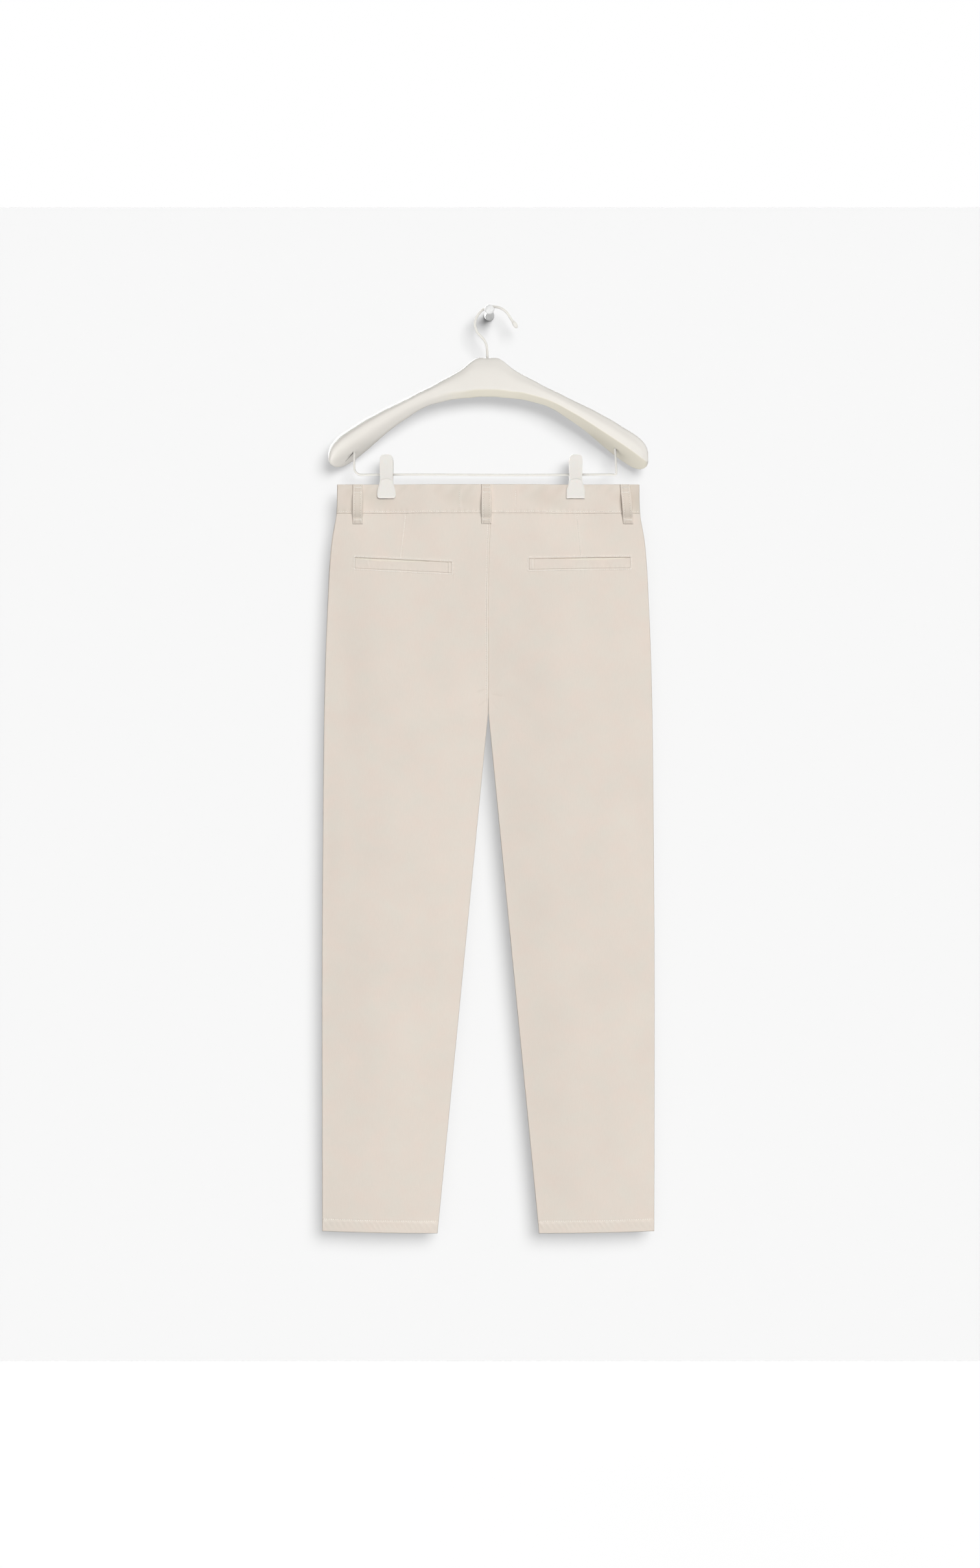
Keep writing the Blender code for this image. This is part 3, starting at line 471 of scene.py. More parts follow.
def hem_relief(x, drop):
    """The hem's stitch line, its roped puckers and its turned edge."""
    pucker = bpy.context.scene.chino_cloth.pucker / MM
    up = HEM_DROP_MM - drop
    near = ease((24.0 - up) / 6.0)
    relief = -0.3 * groove(up - 17.4, 0.8) + 0.2 * groove(up - 15.2, 1.4)
    roped = ripple(x + 0.55 * up, 8.0)
    relief = relief + near * pucker * 0.9 * roped * groove(up - 12.0, 7.0)
    return relief - rolled(np.maximum(up, 0.0), 1.3)


def leg_places(places, drop, outer, inner, fixed_to):
    """Columns that stay where they are above the seat and share the leg's width below it."""
    reach = places[-1]
    drop = drop[:, None]
    outer = outer[:, None]
    inner = inner[:, None]
    held = places[None, :] + (outer - reach) * ease((places[None, :] - fixed_to)
                                                    / (reach - fixed_to))
    held = held + inner * (1.0 - ease(places[None, :] / 9.0))
    shared = inner + places[None, :] * (outer - inner) / reach
    blend = ease((drop - 150.0) / 170.0)
    return (1.0 - blend) * held + blend * shared


def build_back(hand):
    """One back, from the waistband's seam to the hem, with its pocket's window."""
    pocket = POCKETS[hand]
    inner, outer = pocket["inner"], pocket["outer"]
    top = (pocket["inner_drop"] + pocket["outer_drop"]) / 2
    bottom = top + WELT_HEIGHT_MM
    dart = 106.0 if hand == LEFT else 118.0
    places = spaced(0.0, (4.2, 0.3), (10.0, 1.2), (inner - 4.0, 2.6), (inner - 2.8, 0.6),
                    (inner, 0.4), (inner + 1.5, 0.5), (dart, 2.6), (dart + 8.0, 1.2),
                    (dart + 20.0, 0.7), (outer - 1.5, 2.6), (outer, 0.5), (outer + 2.8, 0.4),
                    (outer + 4.0, 0.6), (223.0, 2.2), (224.5, 0.5), (225.4, 0.3))
    levels = spaced(BAND_DROP_MM + 0.1, (45.0, 0.6), (top - 4.0, 1.6), (top - 2.8, 0.6),
                    (top, 0.4), (top + 1.5, 0.5), (bottom - 1.5, 1.7), (bottom, 0.5),
                    (bottom + 2.8, 0.4), (bottom + 4.0, 0.6), (150.0, 1.7), (286.0, 3.2),
                    (330.0, 1.8), (400.0, 5.0), (1036.0, 8.0), (1044.0, 2.0), (1050.0, 0.8),
                    (1062.6, 1.6), (HEM_DROP_MM, 0.4))
    width = section(levels, "half_width")
    seam = hand * seat_seam(levels) * ease((330.0 - levels) / 40.0)
    edge = np.where(levels > CROTCH_DROP_MM - 20.0, inner_line(levels), 0.0) + seam
    distance = leg_places(places, levels, width, edge, 206.0)
    level = np.repeat(levels[:, None], len(places), axis=1)
    drop = level + pocket_shift(distance, level, pocket)
    x = hand * distance
    out = surface(x, drop, BACK)
    relief = back_relief(distance, drop, hand)
    middle_level = (level[:-1, :-1] + level[1:, 1:]) / 2
    middle_place = (places[:-1] + places[1:])[None, :] / 2
    keep = ~((middle_level > top) & (middle_level < bottom)
             & (middle_place > inner) & (middle_place < outer))
    wall = np.where(drop > HEM_FOLD_DROP_MM + 1.0, HEM_CLOTH_MM, CLOTH_MM)
    rise = HEM_RISE_MM * np.clip((drop - CROTCH_DROP_MM) / (HEM_DROP_MM - CROTCH_DROP_MM), 0, 1)
    rise = rise * distance / section(drop, "half_width")
    return cloth_shell("twill_back_" + pocket["name"], x, drop, out, wall, BACK, relief, keep,
                       rise)


def fly_share(drop):
    return np.clip((FLY_CLOSED_MM - drop) / (FLY_CLOSED_MM - FLY_END_MM), 0.0, 1.0)


def lap_raise(distance, drop, height):
    """How far the upper lap of the fly stands out."""
    across = np.clip((40.0 - distance) / 16.0, 0.0, 1.0)
    down = np.clip((FLY_LEVEL_MM - drop) / (FLY_LEVEL_MM - FLY_CLOSED_MM), 0.0, 1.0)
    return height * ease(across) * ease(down)


def lap_edge(drop, hand):
    """A front's inner edge, with its lap over or under the other front."""
    return inner_line(drop) - (4.0 if hand == LEFT else 22.0) * fly_share(drop)


def slant_line(drop):
    """Distance from the middle of a slanted pocket's mouth."""
    top = section(BAND_DROP_MM, "half_width") - SLANT_TOP_IN_MM
    end = section(FLY_END_MM, "half_width")
    return top + (end - top) * (drop - BAND_DROP_MM) / (FLY_END_MM - BAND_DROP_MM)


FLY_STITCH_MM = ((27.0, 43.0), (27.0, 150.0), (26.4, 168.0), (23.6, 182.0), (18.2, 193.5),
                 (10.6, 201.5), (1.2, 206.0))


def polyline_distance(x, drop, points):
    """Distance from a line through points."""
    nearest = np.full(np.broadcast(x, drop).shape, 1e6)
    for start, end in zip(points, points[1:]):
        along = np.array(end, float) - np.array(start, float)
        run = ((x - start[0]) * along[0] + (drop - start[1]) * along[1]) / (along @ along)
        run = np.clip(run, 0.0, 1.0)
        here = np.hypot(x - start[0] - run * along[0], drop - start[1] - run * along[1])
        nearest = np.minimum(nearest, here)
    return nearest


def front_relief(distance, drop, hand):
    """Fine form of a front: fly, slanted mouth, seams, puckers and hem."""
    pucker = bpy.context.scene.chino_cloth.pucker / MM
    x = hand * distance
    under_band = drop - BAND_DROP_MM
    relief = -0.35 * groove(under_band, 0.9)
    relief = relief + pucker * 0.9 * ripple(x, 9.0) * np.exp(-np.maximum(under_band, 0) / 4.5)
    edge = distance - lap_edge(drop, hand)
    relief = relief - rolled(edge, 1.1) * (1.0 if hand == LEFT else 0.6)
    relief = relief + pucker * 0.5 * ripple(drop, 12.0) * groove(edge, 4.0)
    if hand == LEFT:
        off = polyline_distance(distance, drop, FLY_STITCH_MM)
        relief = relief - 0.35 * groove(off, 0.8)
        relief = relief + pucker * 0.6 * ripple(drop, 7.5) * groove(off - 2.0, 2.2)
    below = ease((drop - 200.0) / 14.0) * ease((CROTCH_DROP_MM - drop) / 20.0)
    relief = relief + below * 0.25 * groove(edge - 1.9, 1.0)
    mouth = slant_line(drop) - distance
    beside = ease((FLY_END_MM + 1.0 - drop) / 6.0)
    relief = relief - beside * (rolled(mouth, 1.2) + 0.3 * groove(mouth - 6.4, 0.8)
                                - 0.2 * groove(mouth - 3.4, 2.0))
    relief = relief + beside * pucker * 0.6 * ripple(drop, 8.0) * groove(mouth - 6.0, 3.0)
    width = section(drop, "half_width")
    relief = relief - (1.0 - beside) * rolled(width - distance, 1.3)
    relief = relief + (1.0 - beside) * pucker * 0.6 * ripple(drop, 16.0) * (
        groove(width - distance - 3.0, 4.0))
    for start, end, deep in SEAT_CREASES_MM[-hand]:
        off, run = line_distance(distance, drop, start, end)
        relief = relief - deep * groove(off, 2.6) * ease((run + 0.3) / 0.6) * (
            ease((1.3 - run) / 0.6))
    return relief + hem_relief(x, drop)


def build_front(hand):
    """One front, from the waistband's seam to the hem, cut off along its pocket's mouth."""
    name = "left" if hand == LEFT else "right"
    near = spaced(0.0, (6.0, 0.7), (24.0, 2.2), (31.0, 0.8), (36.0, 1.6))
    reach = 233.0
    places = np.concatenate((near, spaced(36.0, (215.0, 2.6), (225.0, 0.9), (231.4, 1.6),
                                          (reach, 0.35))[1:]))
    levels = spaced(BAND_DROP_MM + 0.1, (45.0, 0.6), (180.0, 3.0), (212.0, 1.4), (262.0, 3.0),
                    (330.0, 2.2), (400.0, 5.0), (1036.0, 8.0), (1044.0, 2.0), (1050.0, 0.8),
                    (1062.6, 1.6), (HEM_DROP_MM, 0.4))
    width = np.where(levels < FLY_END_MM, slant_line(levels), section(levels, "half_width"))
    inner = lap_edge(levels, hand)
    share = places[None, :] / reach
    held = inner[:, None] + places[None, :] + (width - inner - reach)[:, None] * (
        np.clip((places[None, :] - 40.0) / (205.0 - 40.0), 0, 1))
    shared = inner[:, None] + share * (width - inner)[:, None]
    blend = ease((levels[:, None] - 225.0) / 110.0)
    distance = (1.0 - blend) * held + blend * shared
    drop = np.repeat(levels[:, None], len(places), axis=1)
    x = hand * distance
    out = surface(x, drop, FRONT)
    if hand == LEFT:
        out = out + lap_raise(distance, drop, CLOTH_MM + LAP_GAP_MM)
    relief = front_relief(distance, drop, hand)
    wall = np.where(drop > HEM_FOLD_DROP_MM + 1.0, HEM_CLOTH_MM, CLOTH_MM)
    rise = HEM_RISE_MM * np.clip((drop - CROTCH_DROP_MM) / (HEM_DROP_MM - CROTCH_DROP_MM), 0, 1)
    rise = rise * distance / section(drop, "half_width")
    return cloth_shell("twill_front_" + name, x, drop, out, wall, FRONT, relief, None, rise)


def band_relief(x, drop, side, edge=None):
    """Fine form of the waistband: rolled edges, seam puckers and a soft unevenness."""
    pucker = bpy.context.scene.chino_cloth.pucker / MM
    low = BAND_DROP_MM - 0.05 - drop
    relief = -rolled(drop, 1.3) - rolled(np.maximum(low, 0.0), 0.2)
    relief = relief - 0.1 * groove(low - 2.4, 0.7) + 0.1 * groove(low - 1.0, 0.7)
    relief = relief + pucker * 0.9 * ripple(x, 8.5) * groove(low - 2.6, 3.4)
    relief = relief + pucker * 0.5 * ripple(x + 0.7 * drop, 21.0) * groove(drop - 6.0, 9.0)
    relief = relief + 0.22 * np.sin(x / 19.0 + 0.6 * np.sin(drop / 9.0)) * groove(drop - 20.0, 16.0)
    if side == BACK:
        for mark in (-41.1, 38.8):
            on_mark = ease((drop - 7.0) / 3.0) * ease((35.0 - drop) / 3.0)
            relief = relief - 0.2 * on_mark * groove(x - mark, 0.8)
            relief = relief + 0.18 * on_mark * groove(x - mark - 2.0, 1.2)
    if edge is not None:
        relief = relief - rolled(edge, 1.1)
    width = section(drop, "half_width")
    return relief - rolled(width - abs(x), 1.4)


def build_band_back():
    """The waistband across the back."""
    width = 214.0
    half = spaced(0.0, (36.0, 2.2), (46.0, 0.8), (width - 3.0, 2.2), (width, 0.45))
    shares = np.concatenate((-half[:0:-1], half)) / width
    levels = spaced(0.0, (1.4, 0.3), (34.0, 1.7), (BAND_DROP_MM - 0.9, 0.6),
                    (BAND_DROP_MM - 0.05, 0.2))
    drop = np.repeat(levels[:, None], len(shares), axis=1)
    x = shares[None, :] * section(levels, "half_width")[:, None]
    out = surface(x, drop, BACK) + BAND_PROUD_MM
    wall = np.full(x.shape, BAND_CLOTH_MM)
    relief = band_relief(x, drop, BACK)
    # The band is painted a shade darker all along, and more towards its ends where it turns away:
    # painted shade.
    ends = -0.1 - 0.2 * ease((abs(x) - 182.0) / 12.0)
    return cloth_shell("twill_band_back", x, drop, out, wall, BACK, relief, wear_and_painted_light=ends)


def build_band_front(hand):
    """One front half of the waistband, with its lap."""
    name = "left" if hand == LEFT else "right"
    reach = 214.0
    places = spaced(0.0, (3.0, 0.5), (reach - 3.0, 2.2), (reach, 0.45))
    levels = spaced(0.0, (1.4, 0.3), (34.0, 1.7), (BAND_DROP_MM - 0.9, 0.6),
                    (BAND_DROP_MM - 0.05, 0.2))
    inner = lap_edge(levels, hand)[:, None]
    width = section(levels, "half_width")[:, None]
    distance = inner + places[None, :] / reach * (width - inner)
    drop = np.repeat(levels[:, None], len(places), axis=1)
    x = hand * distance
    out = surface(x, drop, FRONT) + BAND_PROUD_MM
    if hand == LEFT:
        out = out + lap_raise(distance, drop, BAND_CLOTH_MM + LAYER_GAP_MM)
    wall = np.full(x.shape, BAND_CLOTH_MM)
    relief = band_relief(x, drop, FRONT, distance - inner)
    return cloth_shell("twill_band_front_" + name, x, drop, out, wall, FRONT, relief)


def loop_place(loop, drop):
    """Middle of a belt loop at each drop, and how far its outer face stands out."""
    name, side, middle, lean = loop
    along = (drop - 11.5) / (47.5 - 11.5)
    arch = np.maximum(1.0 - abs(2.0 * along - 1.0) ** 2.2, 0.0)
    stand = BAND_PROUD_MM + GAP_MM + 4.2 * arch + LOOP_CLOTH_MM
    return middle + lean * (drop / 56.2 - 0.5), stand


def build_loop(loop):
    """A belt loop, folded in three and tacked at both ends."""
    name, side, middle, lean = loop
    levels = spaced(GAP_MM, (1.6, 0.35), (54.6, 1.0), (56.2, 0.4))
    across = spaced(-7.2, (-6.0, 0.3), (6.0, 0.75), (7.2, 0.3))
    centre, stand = loop_place(loop, levels)
    drop = np.repeat(levels[:, None], len(across), axis=1)
    x = centre[:, None] + across[None, :]
    out = surface(x, drop, side) + stand[:, None]
    edge = 7.2 - abs(across)[None, :]
    ends = np.minimum(drop - GAP_MM, 56.2 - drop)
    # The side away from the light is rolled further, which also gives it more painted shade through
    # the relief's tint.
    lit = across[None, :] > 0.0 if side == BACK else across[None, :] < 0.0
    relief = -rolled(edge, 0.9) * (1.0 - 0.6 * lit) - rolled(ends, 0.3)
    relief = relief + 0.15 * groove(edge - 1.4, 0.8)
    relief = relief - 0.12 * groove(edge - 3.0, 0.5)
    for tack in (4.7, 11.5, 50.5):
        relief = relief - 0.2 * groove(drop - tack, 0.8)
    relief = relief + 0.16 * ripple(drop + 3.0 * across[None, :] + middle, 9.0) * groove(
        edge - 2.0, 2.5)
    tip = 1.1 * ease((drop - 51.0) / 5.0)
    wall = np.full(x.shape, LOOP_CLOTH_MM) - tip
    # The loop is painted a little darker, with painted shade along its stitch lines and a paler
    # folded edge, washing wear and painted highlight. Its lower end is painted much lighter: painted
    # light against the shade under it.
    wear_and_painted_light = 0.2 * groove(edge - 1.0, 0.8) - 0.26 - 0.16 * groove(edge - 3.0, 1.2)
    wear_and_painted_light = wear_and_painted_light + 0.7 * (ends < 0.4) * (drop > 50.0)
    return cloth_shell("twill_loop_" + name, x, drop, out - tip, wall, side, relief,
                       wear_and_painted_light=wear_and_painted_light)


def welt_top(share):
    """Drop of a welt's top edge below its window's: it sags open near the outer end."""
    away = (share - WELT_SAG_PLACE) / np.where(share > WELT_SAG_PLACE, 1.0 - WELT_SAG_PLACE, 0.5)
    return GAP_MM * 0.6 + WELT_SAG_MM * np.maximum(1.0 - away ** 2, 0.0)


def build_welt(hand):
    """A welt: a folded strip set in its window, its top edge sagging open."""
    pocket = POCKETS[hand]
    length = pocket["outer"] - pocket["inner"]
    distance = spaced(pocket["inner"] + 0.2, (pocket["inner"] + 1.7, 0.3),
                      (pocket["fold"] + 3.0, 0.6), (pocket["outer"] - 1.7, 1.6),
                      (pocket["outer"] - 0.2, 0.3))
    share = (distance - pocket["inner"]) / length
    line = pocket["inner_drop"] + (pocket["outer_drop"] - pocket["inner_drop"]) * share
    top = welt_top(share)
    down = spaced(0.0, (0.12, 0.025), (0.9, 0.06), (1.0, 0.025))
    height = WELT_HEIGHT_MM - 0.08 - top
    drop = line[None, :] + top[None, :] + down[:, None] * height[None, :]
    place = np.repeat(distance[None, :], len(down), axis=0)
    x = hand * place
    from_top = down[:, None] * height[None, :]
    from_low = height[None, :] - from_top
    relief = -rolled(from_top, 0.7) - rolled(from_low, 0.3)
    relief = relief - rolled(place - distance[0], 0.2) - rolled(distance[-1] - place, 0.2)
    relief = relief - 0.4 * groove(place - pocket["fold"], 0.7)
    relief = relief + 0.3 * groove(place - pocket["fold"] + 1.9, 1.0)
    if pocket["crease"]:
        lean = pocket["crease"] - 0.16 * (from_top - 8.0)
        relief = relief - 0.4 * groove(place - lean, 0.9) * ease(from_low / 4.0)
        relief = relief + 0.2 * groove(place - lean - 2.2, 1.4)
    relief = relief + 0.2 * ripple(x, 31.0) * groove(from_top - 6.0, 6.0)
    relief = relief + 0.16 * ripple(x, 6.5) * groove(from_low - 1.0, 2.6)
    out = surface(x, drop, BACK) + WELT_PROUD_MM
    wall = np.full(x.shape, 1.1)
    return cloth_shell("twill_welt_" + pocket["name"], x, drop, out, wall, BACK, relief)


def build_back_facing(hand):
    """The facing behind a back pocket's mouth, which shows in the sagging gap."""
    pocket = POCKETS[hand]
    top = (pocket["inner_drop"] + pocket["outer_drop"]) / 2
    bottom = top + WELT_HEIGHT_MM
    inner, outer = pocket["inner"], pocket["outer"]
    distance = spaced(inner - 7.0, (inner + 2.0, 1.0), (outer - 2.0, 3.0), (outer + 7.0, 1.0))
    levels = spaced(top - 7.0, (top + 5.0, 0.5), (bottom + 7.0, 2.4))
    place = np.repeat(distance[None, :], len(levels), axis=0)
    level = np.repeat(levels[:, None], len(distance), axis=1)
    share = (place - inner) / (outer - inner)
    drop = level + (pocket["inner_drop"] - top) + (
        pocket["outer_drop"] - pocket["inner_drop"]) * share
    x = hand * place
    inside = np.minimum(np.minimum(place - inner, outer - place),
                        np.minimum(level - top, bottom - level))
    shown = 1.0 - ease((level - top - welt_top(share) - 0.6) / 1.2)
    bulge = (0.95 + 0.45 * shown) * ease((inside + 0.1) / 0.5)
    out = surface(x, drop, BACK) - CLOTH_MM - LAYER_GAP_MM + bulge
    relief = np.zeros(x.shape) + 0.05 * ripple(x, 17.0)
    wall = np.full(x.shape, FACING_CLOTH_MM)
    return cloth_shell("facing_back_" + pocket["name"], x, drop, out, wall, BACK, relief)


def build_front_facing(hand):
    """The facing beside a slanted mouth, which runs on under the front."""
    name = "left" if hand == LEFT else "right"
    levels = spaced(BAND_DROP_MM + 0.15, (45.0, 0.8), (212.0, 2.6))
    inner = slant_line(levels) - 18.0
    outer = section(levels, "half_width")
    share = np.concatenate((np.linspace(0.0, 0.94, 26), np.linspace(0.95, 1.0, 7)))
    distance = inner[:, None] + (outer - inner)[:, None] * share[None, :]
    drop = np.repeat(levels[:, None], len(share), axis=1)
    x = hand * distance
    out = surface(x, drop, FRONT) - CLOTH_MM - LAYER_GAP_MM
    pucker = bpy.context.scene.chino_cloth.pucker / MM
    relief = -rolled(outer[:, None] - distance, 0.9) + pucker * 0.6 * ripple(drop, 13.0) * (
        groove(outer[:, None] - distance - 3.0, 4.0))
    wall = np.full(x.shape, FACING_CLOTH_MM)
    return cloth_shell("facing_front_" + name, x, drop, out, wall, FRONT, relief)


def build_tape():
    """The zip's woven tape, behind the lap of the right front."""
    levels = spaced(46.0, (196.0, 3.0))
    across = spaced(-18.0, (6.0, 1.0))
    x = np.repeat(across[None, :], len(levels), axis=0)
    drop = np.repeat(levels[:, None], len(across), axis=1)
    out = surface(x, drop, FRONT) - CLOTH_MM - LAYER_GAP_MM
    relief = np.zeros(x.shape)
    wall = np.full(x.shape, FACING_CLOTH_MM)
    return cloth_shell("zip_tape", x, drop, out, wall, FRONT, relief)


def hem_rise(x, drop):
    """How much higher the hems lie towards the side seams."""
    share = np.clip((drop - CROTCH_DROP_MM) / (HEM_DROP_MM - CROTCH_DROP_MM), 0.0, 1.0)
    return HEM_RISE_MM * share * abs(x) / section(drop, "half_width")


def back_height(x, drop):
    """Outer face of the two backs, with its fine form."""
    left = back_relief(-x, drop, LEFT)
    right = back_relief(x, drop, RIGHT)
    return surface(x, drop, BACK) + np.where(x < 0, left, right)


def front_height(hand):
    def height(x, drop):
        distance = hand * x
        out = surface(x, drop, FRONT) + front_relief(distance, drop, hand)
        if hand == LEFT:
            out = out + lap_raise(distance, drop, CLOTH_MM + LAP_GAP_MM)
        return out
    return height


def band_back_height(x, drop):
    return surface(x, drop, BACK) + BAND_PROUD_MM + band_relief(x, drop, BACK)


def band_front_height(hand):
    def height(x, drop):
        out = surface(x, drop, FRONT) + BAND_PROUD_MM + band_relief(x, drop, FRONT)
        if hand == LEFT:
            out = out + lap_raise(hand * x, drop, BAND_CLOTH_MM + LAYER_GAP_MM)
        return out
    return height


def loop_height(loop):
    def height(x, drop):
        tip = 1.1 * ease((drop - 51.0) / 5.0)
        return surface(x, drop, loop[1]) + loop_place(loop, drop)[1] - 0.12 - tip
    return height


def stitch_row(points, height, side, pitch=None, share=0.72, width=None):
    """Vertices of the stitches along a line of x and drop: 16 for each stitch."""
    cloth = bpy.context.scene.chino_cloth
    pitch = pitch or cloth.stitch / MM
    width = width or cloth.thread_width / MM
    points = np.array(points, float)
    step = np.hypot(*np.diff(points, axis=0).T)
    run = np.concatenate(((0.0,), np.cumsum(step)))
    count = max(int(round(run[-1] / pitch)), 1)
    place = (np.arange(count) + 0.5) * run[-1] / count
    place = place + 0.06 * pitch * np.sin(np.arange(count) * 2.399)
    centre = np.stack([np.interp(place, run, points[:, axis]) for axis in (0, 1)], axis=1)
    ahead = np.stack([np.interp(place + 0.5, run, points[:, axis]) for axis in (0, 1)], axis=1)
    behind = np.stack([np.interp(place - 0.5, run, points[:, axis]) for axis in (0, 1)], axis=1)
    along = ahead - behind
    along = along / np.maximum(np.hypot(along[:, 0], along[:, 1]), 1e-6)[:, None]
    lean = 0.07 * np.sin(np.arange(count) * 1.7)[:, None]
    across = np.stack((-along[:, 1], along[:, 0]), axis=1)
    along = along + lean * across
    length = pitch * share
    rings = []
    for reach, size, lift in ((-0.5, 0.45, -0.28), (-0.3, 1.0, 0.12), (0.3, 1.0, 0.12),
                              (0.5, 0.45, -0.28)):
        middle = centre + along * length * reach
        out = height(middle[:, 0], middle[:, 1]) + lift * width
        for sideways, outwards in ((0.5, 0.0), (0.0, 0.5), (-0.5, 0.0), (0.0, -0.5)):
            point = middle + across * width * size * sideways
            raised = out + outwards * width * size
            rise = hem_rise(point[:, 0], point[:, 1])
            rings.append(to_room(point[:, 0], point[:, 1] - rise, raised, side))
    return np.stack(rings, axis=1)


def sewn(name, rows):
    """One mesh of all the stitches in rows."""
    points = np.concatenate(rows)
    faces = []
    for ring in range(3):
        for corner in range(4):
            after = (corner + 1) % 4
            low = ring * 4
            faces.append((low + corner, low + after, low + 4 + after, low + 4 + corner))
    faces += [(3, 2, 1, 0), (12, 13, 14, 15)]
    starts = (np.arange(len(points)) * 16)[:, None, None]
    quads = (np.array(faces)[None] + starts).reshape(-1, 4)
    mesh = bpy.data.meshes.new(name)
    mesh.from_pydata(points.reshape(-1, 3).tolist(), [], quads.tolist())
    piece = bpy.data.objects.new(name, mesh)
    bpy.context.scene.collection.objects.link(piece)
    face_outwards(piece)
    mesh.shade_smooth()
    return piece


def select_only(piece):
    bpy.ops.object.select_all(action="DESELECT")
    piece.select_set(True)
    bpy.context.view_layer.objects.active = piece


def face_outwards(piece, merge=0.0):
    """Merge doubles if asked, then turn every face outwards."""
    select_only(piece)
    bpy.ops.object.mode_set(mode="EDIT")
    bpy.ops.mesh.select_all(action="SELECT")
    if merge:
        bpy.ops.mesh.remove_doubles(threshold=merge)
    bpy.ops.mesh.normals_make_consistent(inside=False)
    bpy.ops.object.mode_set(mode="OBJECT")


def pocket_frame(hand):
    """Corners of the stitched frame round a back pocket, as x and drop."""
    pocket = POCKETS[hand]
    slope = (pocket["outer_drop"] - pocket["inner_drop"]) / (pocket["outer"] - pocket["inner"])
    corners = []
    for distance, down in ((pocket["inner"] - 1.3, -2.4), (pocket["outer"] + 1.2, -2.1),
                           (pocket["outer"] + 1.2, WELT_HEIGHT_MM + 1.9),
                           (pocket["inner"] - 1.3, WELT_HEIGHT_MM + 2.1)):
        line = pocket["inner_drop"] + slope * (distance - pocket["inner"])
        corners.append((hand * distance, line + down))
    return corners


def flat_line(start, end, drop, step=6.0):
    places = np.linspace(start, end, max(int(abs(end - start) / step), 2))
    return [(x, drop) for x in places]


def bar_tack(centre, length, height, side, upright=False):
    """Close stitches of a bar tack, laid across a short line."""
    x, drop = centre
    rows = []
    count = max(int(length / 0.7), 3)
    for index in range(count):
        place = (index + 0.5) / count * length - length / 2
        if upright:
            ends = [(x - 0.8, drop + place), (x + 0.8, drop + place + 0.3)]
        else:
            ends = [(x + place, drop - 0.8), (x + place + 0.3, drop + 0.8)]
        rows.append(stitch_row(ends, height, side, pitch=1.7, share=0.95, width=0.5))
    return rows


def sew_back():
    """Stitches of the two backs: centre seam, darts and pocket frames."""
    rows = []
    seam = [(float(seat_seam(drop)) - 3.2, drop) for drop in np.arange(58.0, 306.0, 8.0)]
    rows.append(stitch_row(seam, back_height, BACK, width=0.5))
    for hand, (start, end) in DARTS_MM.items():
        line = [(hand * (start[0] + 0.9), start[1] + 3.0), (hand * (end[0] + 0.9), end[1])]
        rows.append(stitch_row(line, back_height, BACK, width=0.5))
    for hand in (LEFT, RIGHT):
        corners = pocket_frame(hand)
        for start, end in zip(corners, corners[1:] + corners[:1]):
            count = max(int(abs(end[0] - start[0]) / 8.0), 1)
            line = [(start[0] + (end[0] - start[0]) * t, start[1] + (end[1] - start[1]) * t)
                    for t in np.linspace(0.0, 1.0, count + 1)]
            rows.append(stitch_row(line, back_height, BACK, pitch=2.8))
    return sewn("thread_backs", rows)


def sew_band():
    """Stitches of the waistband: its lower edge, the label's marks and the buttonhole."""
    rows = [stitch_row(flat_line(-213.0, 213.0, BAND_DROP_MM - 2.6), band_back_height, BACK)]
    for mark in (-41.1, 38.8):
        line = [(mark, 9.0), (mark + 0.4, 33.0)]
        rows.append(stitch_row(line, band_back_height, BACK, width=0.45))
    left = band_front_height(LEFT)
    right = band_front_height(RIGHT)
    for drop in (3.2, BAND_DROP_MM - 2.6):
        rows.append(stitch_row(flat_line(1.0, -213.0, drop), left, FRONT))
        rows.append(stitch_row(flat_line(6.0, 213.0, drop), right, FRONT))
    rows.append(stitch_row([(1.2, 4.0), (1.2, BAND_DROP_MM - 3.0)], left, FRONT))
    for drop in (18.2, 21.8):
        line = flat_line(-0.5, -22.0, drop, 3.0)
        rows.append(stitch_row(line, left, FRONT, pitch=1.1, share=1.1, width=0.55))
    return sewn("thread_waistband", rows)


def sew_fronts():
    """Stitches of the fronts: fly, slanted mouths and their tacks, and the crotch seam."""
    left = front_height(LEFT)
    right = front_height(RIGHT)
    rows = [stitch_row([(-x, drop) for x, drop in FLY_STITCH_MM], left, FRONT)]
    rows += bar_tack((-2.4, 204.0), 8.0, left, FRONT, upright=True)
    rows += bar_tack((-21.5, 187.0), 7.0, left, FRONT)
    seam = [(-2.4, drop) for drop in np.arange(212.0, 312.0, 8.0)]
    rows.append(stitch_row(seam, left, FRONT))
    for hand, height in ((LEFT, left), (RIGHT, right)):
        for inset in (1.9, 6.4):
            line = []
            for drop in np.arange(44.0, 197.0 if inset > 3.0 else 203.0, 6.0):
                line.append((hand * (float(slant_line(drop)) - inset), drop))
            rows.append(stitch_row(line, height, FRONT))
        for drop in (47.0, 193.0):
            middle = hand * (float(slant_line(drop)) - 3.6)
            rows += bar_tack((middle, drop), 7.0, height, FRONT)
    return sewn("thread_fronts", rows)


def sew_hems():
    """Stitches of the two hems, back and front."""
    rows = []
    drop = HEM_DROP_MM - 17.4
    for hand in (LEFT, RIGHT):
        line = flat_line(hand * 73.0, hand * 234.0, drop)
        rows.append(stitch_row(line, back_height, BACK))
        rows.append(stitch_row(line, front_height(hand), FRONT))
    return sewn("thread_hems", rows)


